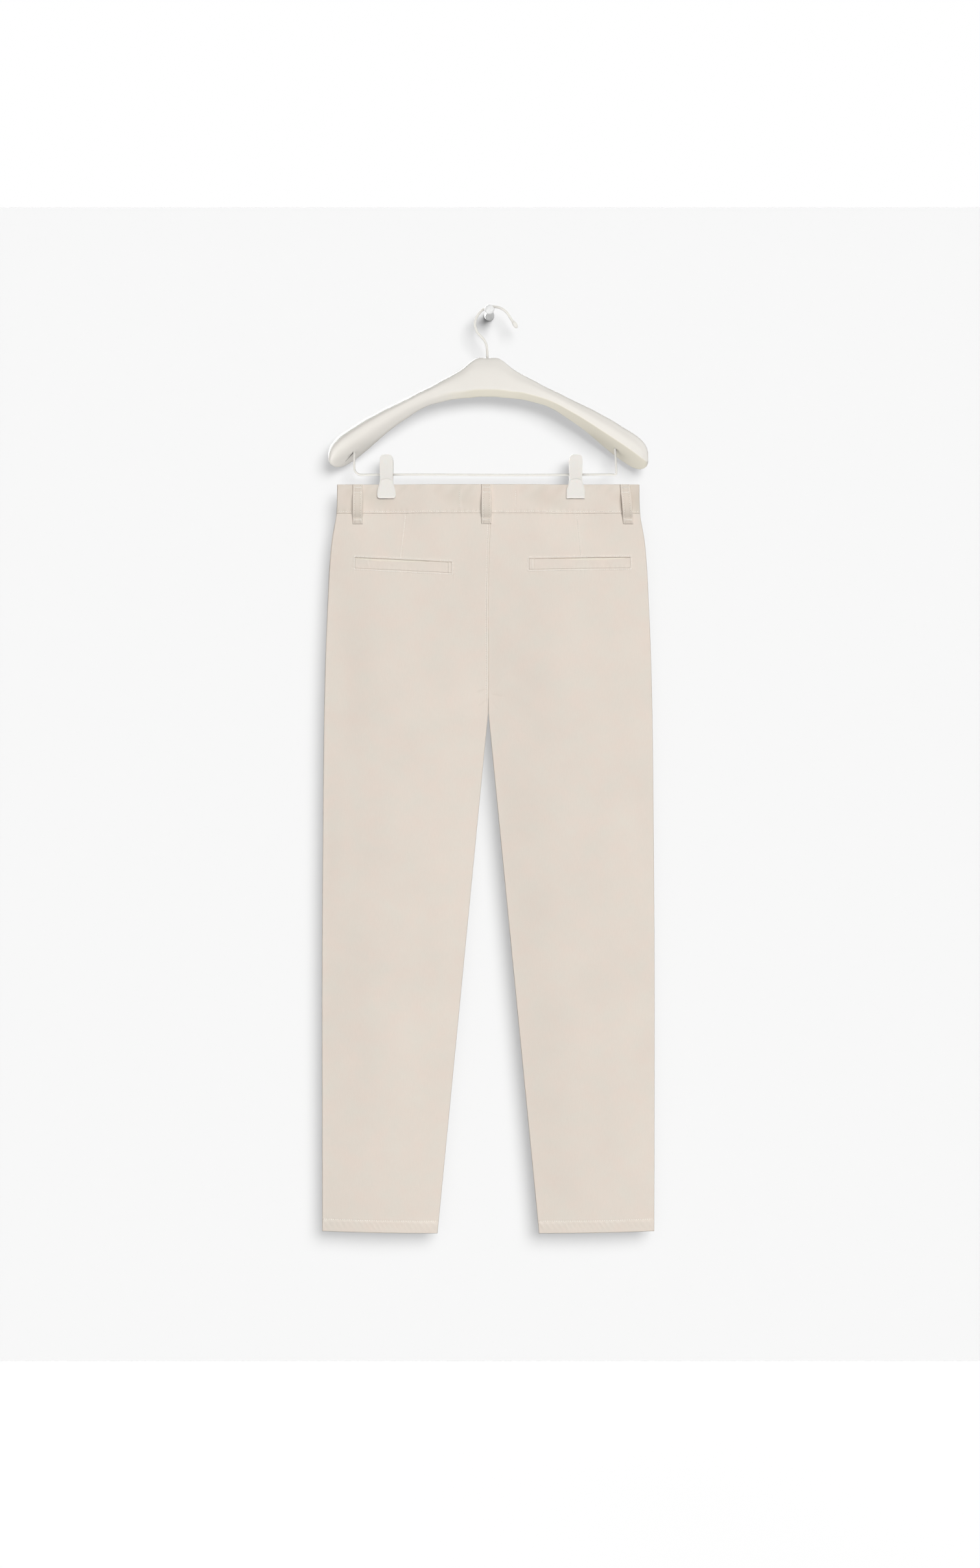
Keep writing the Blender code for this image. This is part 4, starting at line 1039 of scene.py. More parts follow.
def sew_loops():
    """Stitches of the belt loops: two lines down each, and their tacks."""
    rows = []
    for loop in LOOPS:
        height = loop_height(loop)
        for offset in (-4.2, 4.2):
            line = []
            for drop in np.arange(2.0, 55.0, 4.0):
                line.append((float(loop_place(loop, drop)[0]) + offset, drop))
            rows.append(stitch_row(line, height, loop[1], width=0.45))
        for drop in (4.7, 11.5, 50.5):
            middle = float(loop_place(loop, drop)[0])
            rows += bar_tack((middle, drop), 11.0, height, loop[1])
    return sewn("thread_loops", rows)


def coil():
    """The closed zip's nylon coil, on the inner side of its tape."""
    def height(x, drop):
        return surface(x, drop, FRONT) - CLOTH_MM - LAYER_GAP_MM - FACING_CLOTH_MM - 0.35
    rows = []
    for drop in np.arange(53.0, 194.0, 2.4):
        rows.append(stitch_row([(-9.0, drop), (-3.6, drop + 0.5)], height, FRONT, pitch=6.0,
                               share=0.9, width=1.1))
    return sewn("zip_coil", rows)


def finish_hard(piece, angle=38.0):
    """Apply the place, and shade smooth with crisp edges kept."""
    select_only(piece)
    bpy.ops.object.transform_apply(location=True, rotation=True, scale=True)
    bpy.ops.object.shade_smooth_by_angle(angle=math.radians(angle), keep_sharp_edges=True)
    return piece


def apply_modifiers(piece):
    select_only(piece)
    for modifier in list(piece.modifiers):
        bpy.ops.object.modifier_apply(modifier=modifier.name)
    return piece


def lofted(name, rings, closed=True):
    """A grid primitive shaped to rings of points, its long edges joined and its ends filled."""
    rings = np.array(rings, float)
    if closed:
        rings = np.concatenate((rings, rings[:, :1]), axis=1)
    rows, columns = rings.shape[:2]
    bpy.ops.object.select_all(action="DESELECT")
    bpy.ops.mesh.primitive_grid_add(x_subdivisions=columns - 1, y_subdivisions=rows - 1,
                                    size=1.0, location=(0.0, 0.0, 0.0))
    piece = bpy.context.active_object
    piece.name = name
    piece.data.name = name
    piece.data.vertices.foreach_set("co", rings.reshape(-1))
    piece.data.update()
    if closed:
        bpy.ops.object.mode_set(mode="EDIT")
        bpy.ops.mesh.select_all(action="SELECT")
        bpy.ops.mesh.remove_doubles(threshold=0.000005)
        bpy.ops.mesh.fill_holes(sides=0)
        bpy.ops.mesh.normals_make_consistent(inside=False)
        bpy.ops.object.mode_set(mode="OBJECT")
    return piece


# Hanger arm by distance from the stem: top line, front lower edge, lowest line, half depth
HANGER_MM = np.array((
    (0, -66.1, -110.4, -121.3, 13.0), (15, -66.5, -110.8, -121.6, 13.0),
    (20, -69.0, -111.3, -122.4, 13.3), (27, -74.1, -112.4, -123.0, 13.6),
    (35, -81.0, -113.9, -123.6, 14.0), (51, -90.6, -115.7, -125.6, 15.0),
    (67, -98.9, -119.8, -129.5, 16.2), (83, -107.6, -124.7, -134.0, 17.6),
    (98, -114.5, -131.1, -141.5, 19.0), (114, -122.7, -139.8, -152.2, 20.5),
    (130, -130.5, -148.8, -163.0, 21.8), (146, -138.0, -158.8, -175.5, 22.8),
    (162, -146.6, -169.3, -189.3, 23.6), (178, -155.3, -179.8, -202.4, 24.0),
    (194, -165.6, -190.4, -214.0, 24.0), (206, -173.5, -198.4, -220.2, 22.8),
    (214, -180.3, -204.2, -221.4, 20.8), (220, -187.3, -208.4, -219.0, 17.0),
    (223.6, -193.8, -210.2, -215.7, 11.5), (225.4, -200.6, -209.3, -211.6, 5.5)))


def smooth_curve(places, values, wanted):
    """Values on a smooth curve through places that never overshoots."""
    slope = np.diff(values) / np.diff(places)
    tangent = np.concatenate(((slope[0],), (slope[1:] + slope[:-1]) / 2, (slope[-1],)))
    turn = np.concatenate(((False,), slope[1:] * slope[:-1] <= 0, (False,)))
    tangent[turn] = 0.0
    low = np.clip(np.searchsorted(places, wanted, side="right") - 1, 0, len(places) - 2)
    span = places[low + 1] - places[low]
    t = (wanted - places[low]) / span
    rise = values[low + 1] - values[low]
    curve = values[low] + rise * (3 * t * t - 2 * t ** 3)
    curve = curve + span * tangent[low] * t * (1 - t) ** 2
    return curve - span * tangent[low + 1] * t * t * (1 - t)


def hanger_ring(x, top, low, bottom, deep, round_by, slope):
    """One upright section of the hanger with rounded corners, in millimetres.

    slope is how far its underside runs back for each millimetre that it runs down. The
    table was measured in the hanging plane, so nearer points are drawn in to the lens.
    """
    shoulder = top - 0.35 * (top - low)
    lowest = min(-0.8 * deep + slope * (low - bottom), 0.82 * deep)
    rear = bottom + 0.5 * (deep - lowest)
    cut = bottom - 0.25 * round_by * (low + rear - 2.0 * bottom)
    corners = [(-0.5 * deep, top), (-deep, shoulder), (-0.8 * deep, low), (lowest, cut),
               (deep, rear), (deep, shoulder), (0.5 * deep, top)]
    ring = []
    for index, corner in enumerate(corners):
        here = np.array(corner)
        before = np.array(corners[index - 1])
        after = np.array(corners[(index + 1) % len(corners)])
        share = round_by if index in (2, 3) else 0.38
        start = here + (before - here) * share
        end = here + (after - here) * share
        for t in np.linspace(0.0, 1.0, 7):
            y, z = (1 - t) ** 2 * start + 2 * t * (1 - t) * here + t * t * end
            near = 1.0 + y / LENS_AWAY_MM
            ring.append(((x + STEM_X_MM) * near * MM, (HANG_Y_MM + y) * MM,
                         (LENS_Z_MM + (z - LENS_Z_MM) * near) * MM))
    return ring


def build_hanger():
    """The broad hanger: two arms in one shape, its underside crisper on the right arm."""
    reach = HANGER_MM[:, 0]
    wanted = np.concatenate((np.linspace(0, 15, 5), np.linspace(16, 214, 67),
                             np.linspace(215.5, 225.4, 12)))
    curves = [smooth_curve(reach, HANGER_MM[:, column], wanted) for column in (1, 2, 3, 4)]
    rings = []
    for hand in (LEFT, RIGHT):
        order = range(len(wanted) - 1, 0, -1) if hand == LEFT else range(len(wanted))
        for index in order:
            place = wanted[index]
            far = min(place / 120.0, 1.0)
            round_by = 0.16 + far * (0.24 if hand == LEFT else -0.09)
            slope = 1.1 + 0.45 * far
            top, low, bottom, deep = [curve[index] for curve in curves]
            if hand == RIGHT:
                end = float(ease((place - 190.0) / 35.0))
                place, low, bottom = place + 3.0 * end, low - 3.0 * end, bottom - 3.6 * end
            rings.append(hanger_ring(hand * place, top, low, bottom, deep, round_by, slope))
    piece = lofted("lacquered_hanger", rings)
    notch_for_wire(piece)
    finish_hard(piece, 34.0)
    normals = np.zeros(len(piece.data.vertices) * 3)
    places = np.zeros(len(piece.data.vertices) * 3)
    piece.data.vertices.foreach_get("normal", normals)
    piece.data.vertices.foreach_get("co", places)
    # Faces that point down, on the middle and the right arm, are marked for a darker, yellower
    # colour: painted shade with a painted warm bounce.
    under = ease((-normals[2::3] - 0.34) / 0.24) * ease((places[0::3] / MM + 85.0) / 70.0)
    attribute = piece.data.attributes.new("shading_and_wear_tint", "FLOAT", "POINT")
    attribute.data.foreach_set("value", under.astype(np.float32))
    return piece


def notch_for_wire(piece):
    """Cut the slit at the left arm's underside, beside which the bar's end is let in."""
    bpy.ops.object.select_all(action="DESELECT")
    bpy.ops.mesh.primitive_cylinder_add(vertices=3, radius=0.01, depth=0.01)
    cutter = bpy.context.active_object
    corners = ((-192.8, -199.2), (-204.0, -212.0), (-193.3, -201.5))
    places = []
    for x, z in corners:
        face = HANG_Y_MM - 19.0 + 1.55 * (-186.0 - z)
        places += [(x * MM, (face - 16.0) * MM, z * MM), (x * MM, (face + 1.9) * MM, z * MM)]
    for vertex, place in zip(cutter.data.vertices, places):
        vertex.co = place
    face_outwards(cutter)
    notch = piece.modifiers.new("Notch", "BOOLEAN")
    notch.operation = "DIFFERENCE"
    notch.solver = "EXACT"
    notch.object = cutter
    apply_modifiers(piece)
    bpy.data.objects.remove(cutter, do_unlink=True)


def ring_round(route, index, radius, count):
    """A ring of points about a route of x and z in the hanging plane, in millimetres."""
    ahead = route[min(index + 1, len(route) - 1)]
    behind = route[max(index - 1, 0)]
    along = (ahead - behind) / np.hypot(*(ahead - behind))
    ring = []
    for step in range(count):
        angle = 2 * math.pi * step / count
        x = route[index][0] - along[1] * radius * math.cos(angle)
        z = route[index][1] + along[0] * radius * math.cos(angle)
        ring.append((x * MM, (HANG_Y_MM + radius * math.sin(angle)) * MM, z * MM))
    return ring


def bent(corners, share, count):
    """A route through corners, each bend a soft arc."""
    corners = [np.array(corner, float) for corner in corners]
    route = [corners[0]]
    for before, here, after in zip(corners, corners[1:], corners[2:]):
        start = here + (before - here) * share
        end = here + (after - here) * share
        for t in np.linspace(0.0, 1.0, count):
            route.append((1 - t) ** 2 * start + 2 * t * (1 - t) * here + t * t * end)
    return route + [corners[-1]]


def build_hook():
    """The wire hook with its swelled tip."""
    centre_x, centre_z, radius = 5.5, -19.3, 26.0
    corners = [(STEM_X_MM, -77.7), (STEM_X_MM, -54.0), (STEM_X_MM - 2.4, -43.0),
               (STEM_X_MM - 11.0, -33.5), (centre_x - radius, -27.0)]
    route = bent(corners, 0.45, 9)[:-1]
    for angle in np.radians(np.linspace(184, 24, 49)):
        route.append(np.array((centre_x + radius * math.cos(angle),
                               centre_z + radius * math.sin(angle))))
    radii = [1.75] * len(route)
    along = np.array((0.57, -0.82))
    start = route[-1] + along * 6.0
    for share in np.sin(np.linspace(-1.45, 1.5, 19)):
        route.append(start + along * 6.0 * (share + 1.0))
        swell = 3.2 * math.sqrt(max(1.0 - share * share, 0.0))
        radii.append(max(swell, 1.75 if share < 0 else 0.02))
    route = np.array(route)
    rings = [ring_round(route, index, radii[index], 20) for index in range(len(route))]
    return finish_hard(lofted("coated_hook", rings), 50.0)


def build_bar():
    """The wire bar that the clips ride on, turned up at both ends."""
    left, right, high, low = -191.8, 180.3, -194.5, -232.1
    route = [np.array((left, z)) for z in np.linspace(high, low + 10.0, 6)[:-1]]
    for angle in np.radians(np.linspace(180, 270, 13)):
        route.append(np.array((left + 10.0 + 10.0 * math.cos(angle),
                               low + 10.0 + 10.0 * math.sin(angle))))
    for x in np.linspace(left + 16.0, right - 9.0, 40):
        sag = 0.35 * math.sin((x - left) / 48.0)
        route.append(np.array((x, low + sag)))
    for angle in np.radians(np.linspace(-90, 0, 9)):
        route.append(np.array((right - 3.2 + 3.2 * math.cos(angle),
                               low + 3.2 + 3.2 * math.sin(angle))))
    route += [np.array((right - 1.8 * t, low + 4.0 + (high - low - 4.0) * t))
              for t in np.linspace(0.1, 1.0, 6)]
    route = np.array(route)
    rings = [ring_round(route, index, 1.55, 16) for index in range(len(route))]
    return finish_hard(lofted("coated_bar", rings), 50.0)


# Outlines of the clips' plates: drop and half width, the left one's corners rounded
PLATES_MM = {
    "left": np.array(((0, 4.2), (0.6, 6.0), (1.8, 7.6), (3.6, 8.8), (6.5, 9.4), (16, 9.4),
                      (27, 9.3), (33, 8.9), (38, 9.3), (42, 10.3), (46, 11.5), (50, 12.4),
                      (54, 12.9), (57, 13.1), (59.2, 12.7), (60.6, 11.7), (61.4, 10.2))),
    "right": np.array(((0, 4.2), (0.6, 6.0), (1.8, 7.6), (3.6, 8.8), (6.5, 9.4), (16, 9.4),
                       (27, 9.3), (33, 9.0), (38, 9.5), (42, 10.6), (46, 12.0), (49, 12.8),
                       (52, 12.9), (56, 12.9), (60.4, 13.0), (61.1, 12.8), (61.4, 12.2))),
}
STAND_MM = np.array(((0, 9.0), (1.2, 8.8), (3.5, 8.3), (7, 7.5), (16, 5.6), (25, 4.2), (31, 3.6),
                     (38, 3.3), (46, 3.15), (61.4, 3.15)))


def build_plate(hand_name, side):
    """One plate of a clip: a finger tongue above, and the jaw's thicker pad below."""
    outline = PLATES_MM[hand_name]
    middle = CLIP_X_MM[hand_name] + CLOTH_X_MM
    drops = spaced(0.0, (0.8, 0.2), (4.0, 0.5), (30.0, 1.3), (40.0, 0.45), (60.4, 1.0),
                   (61.4, 0.25))
    half = np.interp(drops, outline[:, 0], outline[:, 1])
    stand = np.interp(drops, STAND_MM[:, 0], STAND_MM[:, 1])
    shares = np.sin(np.linspace(-1.0, 1.0, 25) * math.pi / 2)
    across = half[:, None] * shares[None, :]
    drop = np.repeat(drops[:, None], len(shares), axis=1)
    edge = half[:, None] - abs(across)
    pad = ease((edge - 0.5) / 1.1) * ease((drop - 33.2 - 0.035 * across ** 2) / 1.4)
    pad = pad * ease((61.0 - drop) / 0.9)
    press = 0.35 * groove(across, 5.5) * ease((drop - 3.0) / 5.0) * ease((25.0 - drop) / 8.0)
    rings = np.stack(((middle + across) * MM, (HANG_Y_MM + side * stand[:, None]
                                               + np.zeros(across.shape)) * MM,
                      (-204.5 - drop) * MM), axis=-1)
    plate = lofted("clip_plate_" + hand_name + ("_back" if side == BACK else "_front"), rings,
                   closed=False)
    count = len(plate.data.vertices)
    solidify = plate.modifiers.new("Wall", "SOLIDIFY")
    solidify.thickness = 2.4 * MM
    solidify.offset = -1.0 if side == BACK else 1.0
    apply_modifiers(plate)
    proud = (0.75 * pad - press).reshape(-1)
    places = np.zeros(len(plate.data.vertices) * 3)
    plate.data.vertices.foreach_get("co", places)
    places = places.reshape(-1, 3)
    far = side * (places[:, 1] / MM - HANG_Y_MM)
    first_far = far[:count].mean() > far[count:].mean()
    outer = slice(0, count) if first_far else slice(count, 2 * count)
    places[outer, 1] += side * proud * MM
    plate.data.vertices.foreach_set("co", places.reshape(-1))
    # The outer face's jaw is marked for the lighter colour; the tongue above keeps the darker one, a
    # painted shade.
    tint = np.zeros(len(places), np.float32)
    tint[outer] = ease((drop.reshape(-1) - 32.0) / 3.0)
    attribute = plate.data.attributes.new("shading_and_wear_tint", "FLOAT", "POINT")
    attribute.data.foreach_set("value", tint)
    bevel = plate.modifiers.new("Edge", "BEVEL")
    bevel.width = 0.7 * MM
    bevel.segments = 3
    bevel.limit_method = "ANGLE"
    bevel.angle_limit = math.radians(62)
    apply_modifiers(plate)
    bpy.ops.object.select_all(action="DESELECT")
    reach = 1.85 + 4.2 - 0.3
    centre_y = HANG_Y_MM + side * (1.85 + reach) / 2
    bpy.ops.mesh.primitive_cube_add(size=1.0, location=(middle * MM, centre_y * MM, -232.1 * MM),
                                    scale=(10.0 * MM, (reach - 1.85) * MM, 4.0 * MM))
    saddle = bpy.context.active_object
    saddle.name = "saddle"
    rounded = saddle.modifiers.new("Edge", "BEVEL")
    rounded.width = 0.8 * MM
    rounded.segments = 3
    bpy.ops.object.transform_apply(location=True, rotation=True, scale=True)
    apply_modifiers(saddle)
    bpy.ops.object.select_all(action="DESELECT")
    saddle.select_set(True)
    plate.select_set(True)
    bpy.context.view_layer.objects.active = plate
    bpy.ops.object.join()
    face_outwards(plate)
    return finish_hard(plate, 46.0)


def build_peg():
    """The wall peg, spun about its axis: collar, neck, knurled head."""
    length, neck, collar, head = 46.5, 3.85, 7.0, 6.9
    profile = [(0.0, length), (head * 0.30, length - 0.25), (head * 0.55, length - 0.8),
               (head * 0.78, length - 1.9), (head * 0.93, length - 3.2), (head, length - 4.6),
               (head * 0.97, length - 5.8), (head * 0.86, length - 7.2), (head * 0.72, length - 8.2),
               (neck * 1.12, length - 9.0), (neck, length - 10.2), (neck, 30.0),
               (neck * 1.1, 26.0), (neck * 1.4, 18.0), (collar * 0.92, 9.0), (collar * 0.97, 7.0),
               (collar, 3.6), (collar, 0.4), (collar * 0.97, 0.0), (0.0, 0.0)]
    bpy.ops.object.select_all(action="DESELECT")
    bpy.ops.mesh.primitive_circle_add(vertices=len(profile), radius=0.01, fill_type="NOTHING",
                                      location=(0.0, 0.0, 0.0))
    peg = bpy.context.active_object
    peg.name = "enamelled_peg"
    places = [(radius * MM, -height * MM, 0.0) for radius, height in profile]
    for vertex, place in zip(peg.data.vertices, places):
        vertex.co = place
    for edge in peg.data.edges:
        edge.select = set(edge.vertices) == {0, len(profile) - 1}
    for vertex in peg.data.vertices:
        vertex.select = False
    bpy.ops.object.mode_set(mode="EDIT")
    bpy.ops.mesh.select_mode(type="EDGE")
    bpy.ops.mesh.delete(type="EDGE_FACE")
    bpy.ops.mesh.select_all(action="SELECT")
    bpy.ops.mesh.spin(steps=64, angle=2 * math.pi, center=(0.0, 0.0, 0.0), axis=(0.0, 1.0, 0.0))
    bpy.ops.mesh.select_all(action="SELECT")
    bpy.ops.mesh.remove_doubles(threshold=0.00001)
    bpy.ops.mesh.normals_make_consistent(inside=False)
    bpy.ops.object.mode_set(mode="OBJECT")
    for vertex in peg.data.vertices:
        x, y, z = vertex.co
        out = -y / MM
        round_at = math.atan2(z, x)
        rim = math.exp(-((out - length + 5.0) / 2.4) ** 2)
        knurl = 0.016 * math.sin(16 * round_at) + 0.02 * math.sin(5 * round_at + 0.9 * out)
        vertex.co.x = x * (1.0 + knurl * rim)
        vertex.co.z = z * (1.0 + knurl * rim)
    return finish_hard(peg, 50.0)


def pick_faces(piece, test):
    """Select in edit mode the faces that pass a test of their normal and middle."""
    bpy.ops.object.mode_set(mode="OBJECT")
    for face in piece.data.polygons:
        face.select = test(face.normal, face.center)
    bpy.ops.object.mode_set(mode="EDIT")


def build_button():
    """The waist button: a rimmed disc with four holes."""
    drop, x = 20.0, -10.0
    seat = float(surface(np.array(x), np.array(drop), FRONT)) + BAND_PROUD_MM + (
        BAND_CLOTH_MM + LAYER_GAP_MM + 2 * GAP_MM)
    centre = Vector(((x + CLOTH_X_MM) * MM, (HANG_Y_MM + seat + 1.6) * MM,
                     (WAIST_Z_MM - drop) * MM))
    bpy.ops.object.select_all(action="DESELECT")
    bpy.ops.mesh.primitive_cylinder_add(vertices=64, radius=8.5 * MM, depth=3.2 * MM,
                                        location=(0.0, 0.0, 0.0))
    button = bpy.context.active_object
    button.name = "resin_button"
    bpy.ops.object.mode_set(mode="EDIT")
    bpy.ops.mesh.select_mode(type="FACE")
    pick_faces(button, lambda normal, middle: normal.z > 0.9)
    bpy.ops.mesh.inset(thickness=1.7 * MM)
    bpy.ops.mesh.extrude_region_move(TRANSFORM_OT_translate={"value": (0.0, 0.0, -0.9 * MM)})
    bpy.ops.mesh.inset(thickness=0.7 * MM)
    bpy.ops.object.mode_set(mode="OBJECT")
    for step in range(4):
        angle = math.pi / 4 + step * math.pi / 2
        bpy.ops.object.select_all(action="DESELECT")
        bpy.ops.mesh.primitive_cylinder_add(vertices=20, radius=0.95 * MM, depth=8.0 * MM,
                                            location=(2.0 * MM * math.cos(angle),
                                                      2.0 * MM * math.sin(angle), 0.0))
        drill = bpy.context.active_object
        hole = button.modifiers.new("Hole", "BOOLEAN")
        hole.operation = "DIFFERENCE"
        hole.solver = "EXACT"
        hole.object = drill
        apply_modifiers(button)
        bpy.data.objects.remove(drill, do_unlink=True)
    bevel = button.modifiers.new("Edge", "BEVEL")
    bevel.width = 0.35 * MM
    bevel.segments = 3
    bevel.limit_method = "ANGLE"
    bevel.angle_limit = math.radians(40)
    apply_modifiers(button)
    button.rotation_euler = (-math.pi / 2, 0.0, 0.0)
    button.location = centre
    return finish_hard(button, 40.0), centre


def build_button_thread(centre):
    """Two crossed bars of thread through the button's holes."""
    x = centre.x / MM - CLOTH_X_MM
    drop = WAIST_Z_MM - centre.z / MM
    out = centre.y / MM - HANG_Y_MM + 1.0

    def height(place, down):
        return np.full(np.shape(place), out)
    rows = []
    for turn in (-1, 1):
        for shift in (-0.35, 0.0, 0.35):
            line = [(x - 1.9 + shift, drop - 1.9 * turn), (x + 1.9 + shift, drop + 1.9 * turn)]
            rows.append(stitch_row(line, height, FRONT, pitch=5.2, share=1.0, width=0.5))
    return sewn("thread_button", rows)


def build_slider():
    """The zip's slider and its pull, on the inner side of the tape."""
    x, drop = -6.3, 52.0
    base = float(surface(np.array(x), np.array(drop), FRONT)) - CLOTH_MM - LAYER_GAP_MM - 3.4
    bpy.ops.object.select_all(action="DESELECT")
    place = Vector(((x + CLOTH_X_MM) * MM, (HANG_Y_MM + base) * MM, (WAIST_Z_MM - drop) * MM))
    bpy.ops.mesh.primitive_cube_add(size=1.0, location=place, scale=(7.0 * MM, 2.2 * MM, 8.5 * MM))
    slider = bpy.context.active_object
    slider.name = "zip_slider"
    bpy.ops.object.transform_apply(location=False, rotation=False, scale=True)
    bpy.ops.object.mode_set(mode="EDIT")
    bpy.ops.mesh.select_mode(type="FACE")
    pick_faces(slider, lambda normal, middle: normal.z < -0.9)
    bpy.ops.transform.resize(value=(0.66, 0.9, 1.0))
    bpy.ops.mesh.extrude_region_move(TRANSFORM_OT_translate={"value": (0.0, 0.0, -2.0 * MM)})
    bpy.ops.transform.resize(value=(0.7, 0.5, 1.0))
    bpy.ops.mesh.extrude_region_move(TRANSFORM_OT_translate={"value": (0.0, -0.3 * MM, -14.0 * MM)})
    bpy.ops.transform.resize(value=(1.3, 1.0, 1.0))
    bpy.ops.object.mode_set(mode="OBJECT")
    bevel = slider.modifiers.new("Edge", "BEVEL")
    bevel.width = 0.5 * MM
    bevel.segments = 3
    bevel.limit_method = "ANGLE"
    bevel.angle_limit = math.radians(30)
    apply_modifiers(slider)
    return finish_hard(slider, 40.0)


def add_node(material, kind, inputs=None, **settings):
    """Add a node to a material, with its settings and its inputs set or linked."""
    node = material.node_tree.nodes.new(kind)
    for name, value in settings.items():
        setattr(node, name, value)
    for name, value in (inputs or {}).items():
        if isinstance(value, bpy.types.NodeSocket):
            material.node_tree.links.new(value, node.inputs[name])
        else:
            node.inputs[name].default_value = value
    return node


def set_ramp(node, *stops):
    """Place and colour the stops of a colour ramp."""
    ramp = node.color_ramp
    while len(ramp.elements) < len(stops):
        ramp.elements.new(0.5)
    for element, (place, colour) in zip(ramp.elements, stops):
        element.position = place
        element.color = colour


def blank_material(name):
    material = bpy.data.materials.get(name)
    if material is None:
        material = bpy.data.materials.new(name)
    material.use_nodes = True
    material.node_tree.nodes.clear()
    return material


def shade_with(material, colour, normal=None, roughness=0.5, **sockets):
    """End a material in one Principled shader; sockets are named with spaces as underscores."""
    inputs = {"Base Color": colour, "Roughness": roughness}
    if normal is not None:
        inputs["Normal"] = normal
    for name, value in sockets.items():
        inputs[name.replace("_", " ")] = value
    shader = add_node(material, "ShaderNodeBsdfPrincipled", inputs)
    add_node(material, "ShaderNodeOutputMaterial", {"Surface": shader.outputs["BSDF"]})
    return material


def garment_twill(name, base, crease, wear_and_painted_light, depth=1.0):
    """Cotton twill, 3/1 weave, garment washed.

    Matt, with a faint steep rib and a soft bloom of fibres. Its seams, creases and gaps are painted
    darker, as painted shade, and its raised edges paler, partly washing wear and partly painted
    highlight.
    """
    cloth = bpy.context.scene.chino_cloth
    material = blank_material(name)
    cut = add_node(material, "ShaderNodeUVMap", uv_map="cut")
    # Real ribs are 0.5 mm apart. They are drawn wider, so that they show.
    turn = add_node(material, "ShaderNodeMapping", {"Vector": cut.outputs["UV"],
                                                    "Rotation": (0.0, 0.0, math.radians(27))})
    rib = add_node(material, "ShaderNodeTexWave",
                   {"Vector": turn.outputs["Vector"], "Scale": 0.31416 / cloth.rib,
                    "Distortion": 0.6, "Detail": 1.0, "Detail Scale": 0.4},
                   wave_type="BANDS", bands_direction="X")
    slubs = add_node(material, "ShaderNodeMapping",
                     {"Vector": cut.outputs["UV"], "Scale": (1.0, 0.16, 1.0)})
    yarn = add_node(material, "ShaderNodeTexNoise",
                    {"Vector": slubs.outputs["Vector"], "Scale": 620.0, "Detail": 3.0,
                     "Roughness": 0.62})
    weave = add_node(material, "ShaderNodeMath", {0: rib.outputs["Fac"], 1: yarn.outputs["Fac"]},
                     operation="ADD")
    bump = add_node(material, "ShaderNodeBump", {"Height": weave.outputs["Value"],
                                                 "Strength": 0.45 * depth,
                                                 "Distance": 0.00016})
    # Dye takes a little unevenly over a hand's breadth, and more finely along the yarn.
    wash = add_node(material, "ShaderNodeTexNoise",
                    {"Vector": cut.outputs["UV"], "Scale": 11.0, "Detail": 4.0,
                     "Roughness": 0.55})
    tone = add_node(material, "ShaderNodeMapRange",
                    {"Value": wash.outputs["Fac"], "From Min": 0.25, "From Max": 0.75,
                     "To Min": 0.975, "To Max": 1.018})
    fleck = add_node(material, "ShaderNodeMapRange",
                     {"Value": yarn.outputs["Fac"], "From Min": 0.2, "From Max": 0.8,
                      "To Min": 0.984, "To Max": 1.014})
    both = add_node(material, "ShaderNodeMath",
                    {0: tone.outputs["Result"], 1: fleck.outputs["Result"]},
                    operation="MULTIPLY")
    shading_and_wear_tint = add_node(material, "ShaderNodeAttribute", attribute_name="shading_and_wear_tint",
                    attribute_type="GEOMETRY")
    ramp = add_node(material, "ShaderNodeValToRGB", {"Fac": shading_and_wear_tint.outputs["Fac"]})
    # At 0 painted shade for seams and hollows, in the middle the cloth's own colour, at 1 the pale of
    # washing wear and painted highlight.
    set_ramp(ramp, (0.0, crease), (0.42, base), (0.58, base), (1.0, wear_and_painted_light))
    tinted = add_node(material, "ShaderNodeVectorMath",
                      {0: ramp.outputs["Color"], "Scale": both.outputs["Value"]},
                      operation="SCALE")
    # The wash leaves blotches a few centimetres wide, some rosier and some greener.
    blotch = add_node(material, "ShaderNodeTexNoise",
                      {"Vector": cut.outputs["UV"], "Scale": 34.0, "Detail": 2.0,
                       "Roughness": 0.5})
    hues = add_node(material, "ShaderNodeValToRGB", {"Fac": blotch.outputs["Fac"]})
    set_ramp(hues, (0.3, (0.972, 1.0, 0.99, 1.0)), (0.7, (1.0, 0.985, 0.972, 1.0)))
    washed = add_node(material, "ShaderNodeVectorMath",
                      {0: tinted.outputs["Vector"], 1: hues.outputs["Color"]},
                      operation="MULTIPLY")
    return shade_with(material, washed.outputs["Vector"], bump.outputs["Normal"], 0.94,
                      Specular_IOR_Level=0.18, Sheen_Weight=0.10, Sheen_Roughness=0.45,
                      Sheen_Tint=(1.0, 0.97, 0.93, 1.0))


